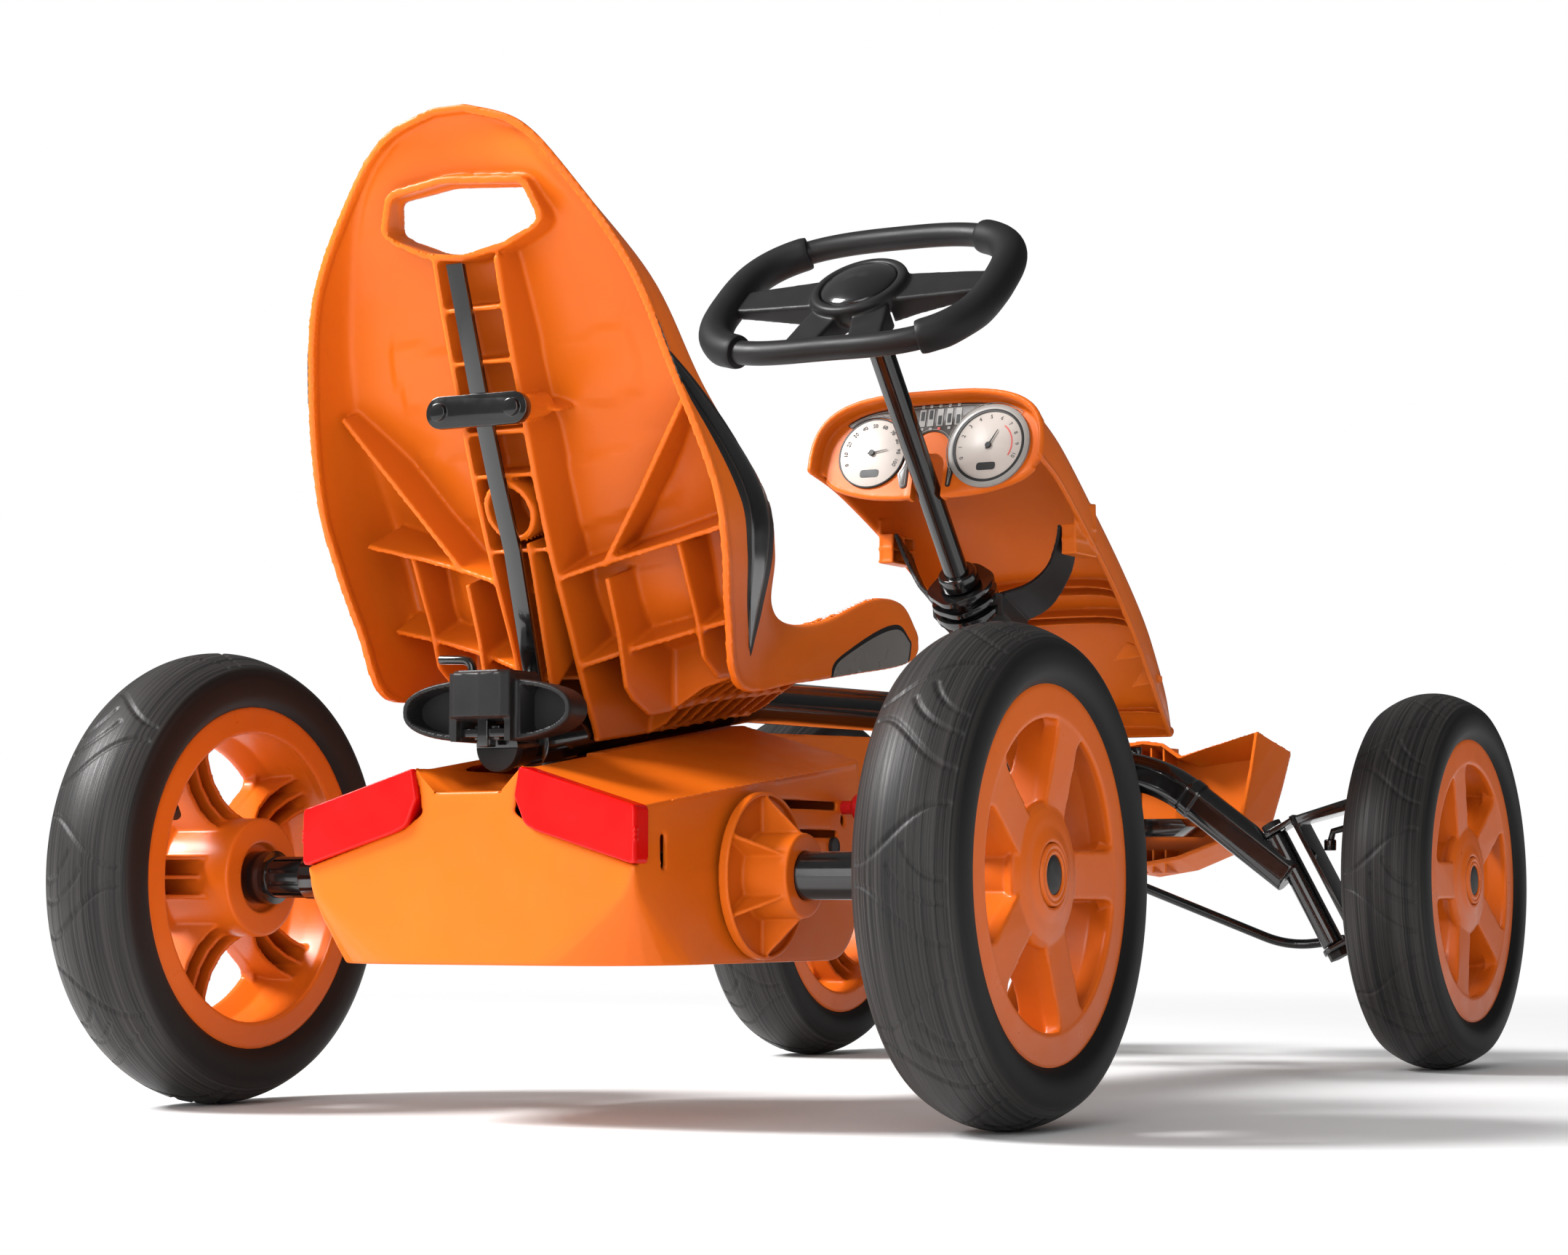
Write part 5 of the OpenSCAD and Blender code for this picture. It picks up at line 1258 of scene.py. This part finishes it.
def housing():
    v = 1.5
    extra = Build()
    # seam plate beside the rail and a lip round the channel's mouth
    for s in (1, -1):
        line = [(s * 45.5, 677, 262), (s * 43, 677, 250), (s * 29, 677, 242)]
        extra.put(*tube_path(line, 1.6, 10))
        extra.put(*tube_path([(s * 149, 640, 236.5), (s * 149, 500, 254), (s * 149, 352, 272)], 1.3, 10))
    trough = [(-50, 258), (-30, 239.5), (30, 239.5), (50, 258), (46, 262), (28.5, 243.5), (-28.5, 243.5), (-46, 262)]
    extra.put(*loft([[(x, y, z) for x, z in trough] for y in (500, 678.6)]))
    notch = Build()
    mouth = [(-45.5, 280), (45.5, 280), (45.5, 260.5), (28.5, 243.5), (-28.5, 243.5), (-45.5, 260.5)]
    notch.put(*loft([[(x, y, z) for x, z in mouth] for y in (560, 690)]))
    # the rear corners: sharp under the lights, rounder towards the floor of the cover
    levels = [(187, 3), (176, 7), (166, 15), (152, 34), (140, 54), (129, 72), (121, 86), (118, 93)]
    plan = lambda r, m: rounded([(141 - m, 679 - m), (m - 141, 679 - m), (m - 148.4, 500), (148.4 - m, 500)],
                                [max(r - m, 1), max(r - m, 1), 0.1, 0.1], 8)
    extra.put(*loft([[(x, y, z) for x, y in plan(r, 0)] for z, r in levels]))
    notch.put(*loft([[(x, y, max(z, 122)) for x, y in plan(r, 4)] for z, r in levels[:-1]]))
    from_cad("rear_cover", "rear_housing", "orange", "frame", v, 4, extra, notch)
    for side, tag in ((1, "left"), (-1, "right")):
        s = side
        from_cad("axle_cover_" + tag, "hub_cover_" + tag, "orange", "frame", 1.1, 3)
        lens = Build()
        outline = rounded([(s * 46, 261.5), (s * 144, 232), (s * 144, 189.5), (s * 62, 214), (s * 51, 219), (s * 42, 240)],
                          [2, 4, 4, 14, 10, 6], 6)
        back = [(x, 664, z) for x, z in outline]
        c = Vector((s * 92, 226))
        rows = [back]
        for y, k in ((680.4, 1.0), (682.0, 0.992), (683.2, 0.975)):
            rows.append([(c.x + (x - c.x) * k, y, c.y + (z - c.y) * k) for x, z in outline])
        lens.put(*loft(rows))
        # bead along the upper edge and small ribs at the outer corner
        lens.put(*tube_path([(s * 48, 681.5, 257.2), (s * 139.5, 681.5, 229.6)], 1.6, 12))
        lens.put(*tube_path([(s * 139.5, 681.2, 229), (s * 139.5, 681.2, 196)], 1.4, 12))
        for z in (208, 211.5, 215):
            lens.put(*box(s * 137, s * 144.4, 679, 683.2, z, z + 1.2))
        make("rear_lens_" + tag, lens, "red_lens", "frame", ("rear_light_" + tag,), voxel=0.8, smooth=3, angle=60)
    badge = Build()
    badge.put(*lathe([(0.01, -148), (7.6, -148), (7.6, -150.6), (6.8, -151.2), (6.2, -150.4), (0.01, -150.4)], 40,
                     lambda u, r, a: (u, 389 + r * math.cos(a), 206 + r * math.sin(a))))
    make("side_badge", badge, "ink", "frame", angle=40)
    # red lever
    b = Build()
    b.put(*lathe([(0.01, -148), (5.5, -148), (5.5, -159), (9.6, -160), (10.6, -161.5), (10.6, -175), (9.4, -177), (0.01, -177)], 40,
                 lambda u, r, a: (u, 372 + r * math.cos(a), 237 + r * math.sin(a))))
    b.put(*loft([[(x, y, z) for x, y in ((-176, 366.5), (-163.5, 366.5), (-163.5, 377.5), (-176, 377.5))] for z in (236,)]
                + [[(x, y, 213) for x, y in ((-174.5, 369), (-165, 369), (-165, 378), (-174.5, 378))]]))
    make("lever_knob", b, "red", "gear_lever", ("gear_lever",), voxel=0.8, smooth=3)


def handle():
    b, cut = Build(), Build()
    outer = lambda y, a=73, c=23: oval(a, c, 64, 2.4, y, 0, 304)
    b.put(*loft([outer(627, 70, 20), outer(631, 72.4, 22.4), outer(655, 73.4, 23.4), outer(657, 72.6, 22.6)]))
    for s in (1, -1):
        pocket = [p for p in oval(69.6, 19.6, 96, 2.4, 0, 0, 304) if s * p[0] > 28]
        xs = [(p[0], p[2]) for p in pocket]
        if s < 0:
            xs = xs
        xs = sorted(xs, key=lambda q: math.atan2(q[1] - 304, (q[0] - s * 40)))
        cut.put(*loft([[(s * 29 + (x - s * 29) * 0.94, 634, 304 + (z - 304) * 0.93) for x, z in xs], [(x, 664, z) for x, z in xs]]))
    plan = [(-26.5, 622), (26.5, 622), (26.5, 664), (20, 668.5), (-3, 670), (-20, 668.5), (-26.5, 664)]
    b.put(*slab(plan, 298.5, 331))
    b.put(*slab([(-24, 624), (24, 624), (24, 661), (17, 666), (-17, 666), (-24, 661)], 297, 333))
    for s in (1, -1):
        b.put(*box(min(s * 20.5, s * 26), max(s * 20.5, s * 26), 628, 663, 281, 300))
    b.put(*slab([(-10.5, 604), (10.5, 604), (10.5, 640), (-10.5, 640)], 310, 322))
    cut.put(*box(-20, 20, 636, 680, 270, 297.5))
    make("handle_body", b, "dark", "seat_handle", ("seat_handle",), voxel=1.0, smooth=3, cut=cut, angle=60)
    g = Build()
    g.put(*box(-21, 21, 650, 658, 284, 290.5)).put(*box(-4.5, 4.5, 648, 660, 277, 298)).put(*box(-11, 11, 646, 654, 282, 293))
    make("handle_insert", g, "black_steel", "seat_handle", bevel=0.8)
    g = Build()
    g.put(*tube_path(rounded([(18, 646, 318), (18, 646, 342), (46, 647, 343)], [0, 9, 0], 8), 3.5, 20))
    make("handle_pin", g, "black_steel", "seat_handle", bevel=0.5)
    g = Build()
    half = [(18 * math.cos(a), 278 + 19 * math.sin(a)) for a in [math.pi + math.pi * k / 24 for k in range(25)]]
    half = [(x, min(z, 277)) for x, z in half]
    g.put(*loft([[(x, 632, z) for x, z in half], [(x, 640.5, z) for x, z in half]]))
    make("rail_end_plate", g, "dark", "frame", bevel=0.8)


def strap():
    """U strap between the head tube and the hood's feet, its width along the column."""
    b = Build()
    upper = [(34, -172, 450), (56, -186, 459), (72, -197, 476), (83, -195, 499), (88, -191, 516)]
    lower = [(34, -230, 429), (56, -233, 440), (72, -231, 457), (83, -230, 477), (88, -227, 494)]
    for s in (1, -1):
        a = catmull([Vector((s * x, y, z)) for x, y, z in upper], 6)
        c = catmull([Vector((s * x, y, z)) for x, y, z in lower], 6)
        rows = []
        for i in range(len(a)):
            t = Vector(a[min(i + 1, len(a) - 1)]) - Vector(a[max(i - 1, 0)])
            w = Vector(c[i]) - Vector(a[i])
            n = t.cross(w).normalized() * (4.2 * s)
            p, q = Vector(a[i]), Vector(c[i])
            rows.append([tuple(p), tuple(q), tuple(q - n), tuple(p - n)])
        b.put(*loft(rows))
        b.put(*loft([[(s * 17, -163, 455), (s * 17, -222, 432), (s * 17, -226, 408), (s * 17, -168, 430)],
                     [(s * 37, -170, 452), (s * 37, -229, 431), (s * 37, -229, 411), (s * 37, -172, 432)]]))
    make("column_strap", b, "dark", "frame", ("console_bracket",), voxel=1.1, smooth=2)


def mirrored(half):
    return half + [(-x, z) for x, z in half[-2:0:-1]]


def spoiler():
    """Hollow nose wing: two outlines joined by thin walls, open to the rear."""
    rear = mirrored([(0, 331), (22, 328), (43, 314), (85, 326), (128, 338), (120, 290), (111, 250), (82, 222), (40, 206), (0, 199)])
    front = mirrored([(0, 317), (28, 314), (50, 301), (98, 308), (149, 317), (139, 280), (127, 242), (89, 212), (44, 194), (0, 187)])
    centre = Vector((0, 262))

    def row(t, y, m):
        out = []
        for r, f in zip(rear, front):
            q = Vector(r).lerp(Vector(f), t)
            d = q - centre
            out.append((q.x - d.x / d.length * m, y, q.y - d.y / d.length * m))
        return out

    b, cut = Build(), Build()
    b.put(*loft([row(0, -600, 0), row(0.5, -622, 0), row(0.94, -643, 0), row(1.0, -646, 1.4)]))
    cut.put(*loft([row(-0.15, -594, 4.2), row(0.5, -622, 4.2), row(0.93, -641, 4.4)]))
    make_wing(b, cut)


def make_wing(b, cut):
    trims = Build()
    for s in (1, -1):
        ring = rounded([(s * 60, 306), (s * 118, 314), (s * 112, 262), (s * 84, 240), (s * 60, 246)], 8, 5)
        trims.put(*tube_path([(x, -641, z) for x, z in ring], 2.6, 10, closed=True))
        for x in (8, 22):
            trims.put(*box(s * x - 1.2, s * x + 1.2, -643, -603, 298, 323))
            trims.put(*box(s * x - 1.2, s * x + 1.2, -643, -606, 192, 216))
        trims.put(*box(s * 40 - 9, s * 40 + 9, -643, -612, 244, 262))
    wing = Build()
    wing.put(b.v, b.f)
    ob = make("nose_spoiler", wing, "orange", "frame", ("front_spoiler",), voxel=1.2, smooth=2, cut=cut)
    make("nose_ribs", trims, "orange", "frame", voxel=1.0, smooth=2)
    return ob


def front_end():
    strap()
    spoiler()
    from_cad("front_beam", "front_axle", "black_steel", "front_axle", 1.0, 3)
    for side, tag in ((1, "left"), (-1, "right")):
        s = side
        kp = Vector((-s * math.sin(math.radians(28.3)), 0, math.cos(math.radians(28.3))))
        out = Vector((s * 205, -552, 183)) - kp * 76
        top, elbow = out + kp * 10, Vector((s * 182, -540, 117))
        eye = FOOT + COL * -347 + Vector((0, -COL.z, COL.y)) * 36 + Vector((s * 22, 0, 0))
        flat = (eye - elbow) - COL * (eye - elbow).dot(COL)
        end = eye - flat.normalized() * 13.5
        b = Build()
        b.put(*tube_path([out - kp * 8, top + kp * 2], 4, 16))
        b.put(*tube_path(rounded([top, elbow, end], [0, 150, 0], 14), 4.9, 18))
        at = on_column(-347).copy()
        at.translation = eye
        start = len(b.v)
        b.put(*lathe([(10.5, -3), (14, -3), (14, 3), (10.5, 3)], 32, lambda u, r, a: (r * math.cos(a), r * math.sin(a), u)))
        b.move(at, start)
        make("track_rod_" + tag, b, "black_steel", "tie_rod_" + tag, ("tie_rod_" + tag,), voxel=0.9, smooth=2)
        # small clamp knob on the knuckle
        k = Build()
        k.put(*lathe([(0.01, 0), (5.6, 0), (6, 1), (6, 10), (5, 11), (0.01, 11)], 20,
                     lambda u, r, a: (s * 236 + r * math.cos(a), -512 + r * math.sin(a), 213 + u)))
        k.put(*tube_path([(s * 236, -512, 220), (s * 240, -510, 232), (s * 256, -510, 236)], 3.4, 12))
        make("knuckle_knob_" + tag, k, "black_steel", "knuckle_" + tag, bevel=0.5)


housing()
handle()
front_end()


# ---------------------------------------------------------------- CAD nodes that stay
for part in frame["record"]["subparts"]:
    node = part["node"]
    if node in ("kingpin_left", "kingpin_right", "seat_handle"):
        if not CAD[node].hide_render:
            dress(node, "dark")
        continue
    if not CAD[node].hide_render and not CAD[node].modifiers:
        dress(node, KEY.get(part["material_slot"], "dark"))
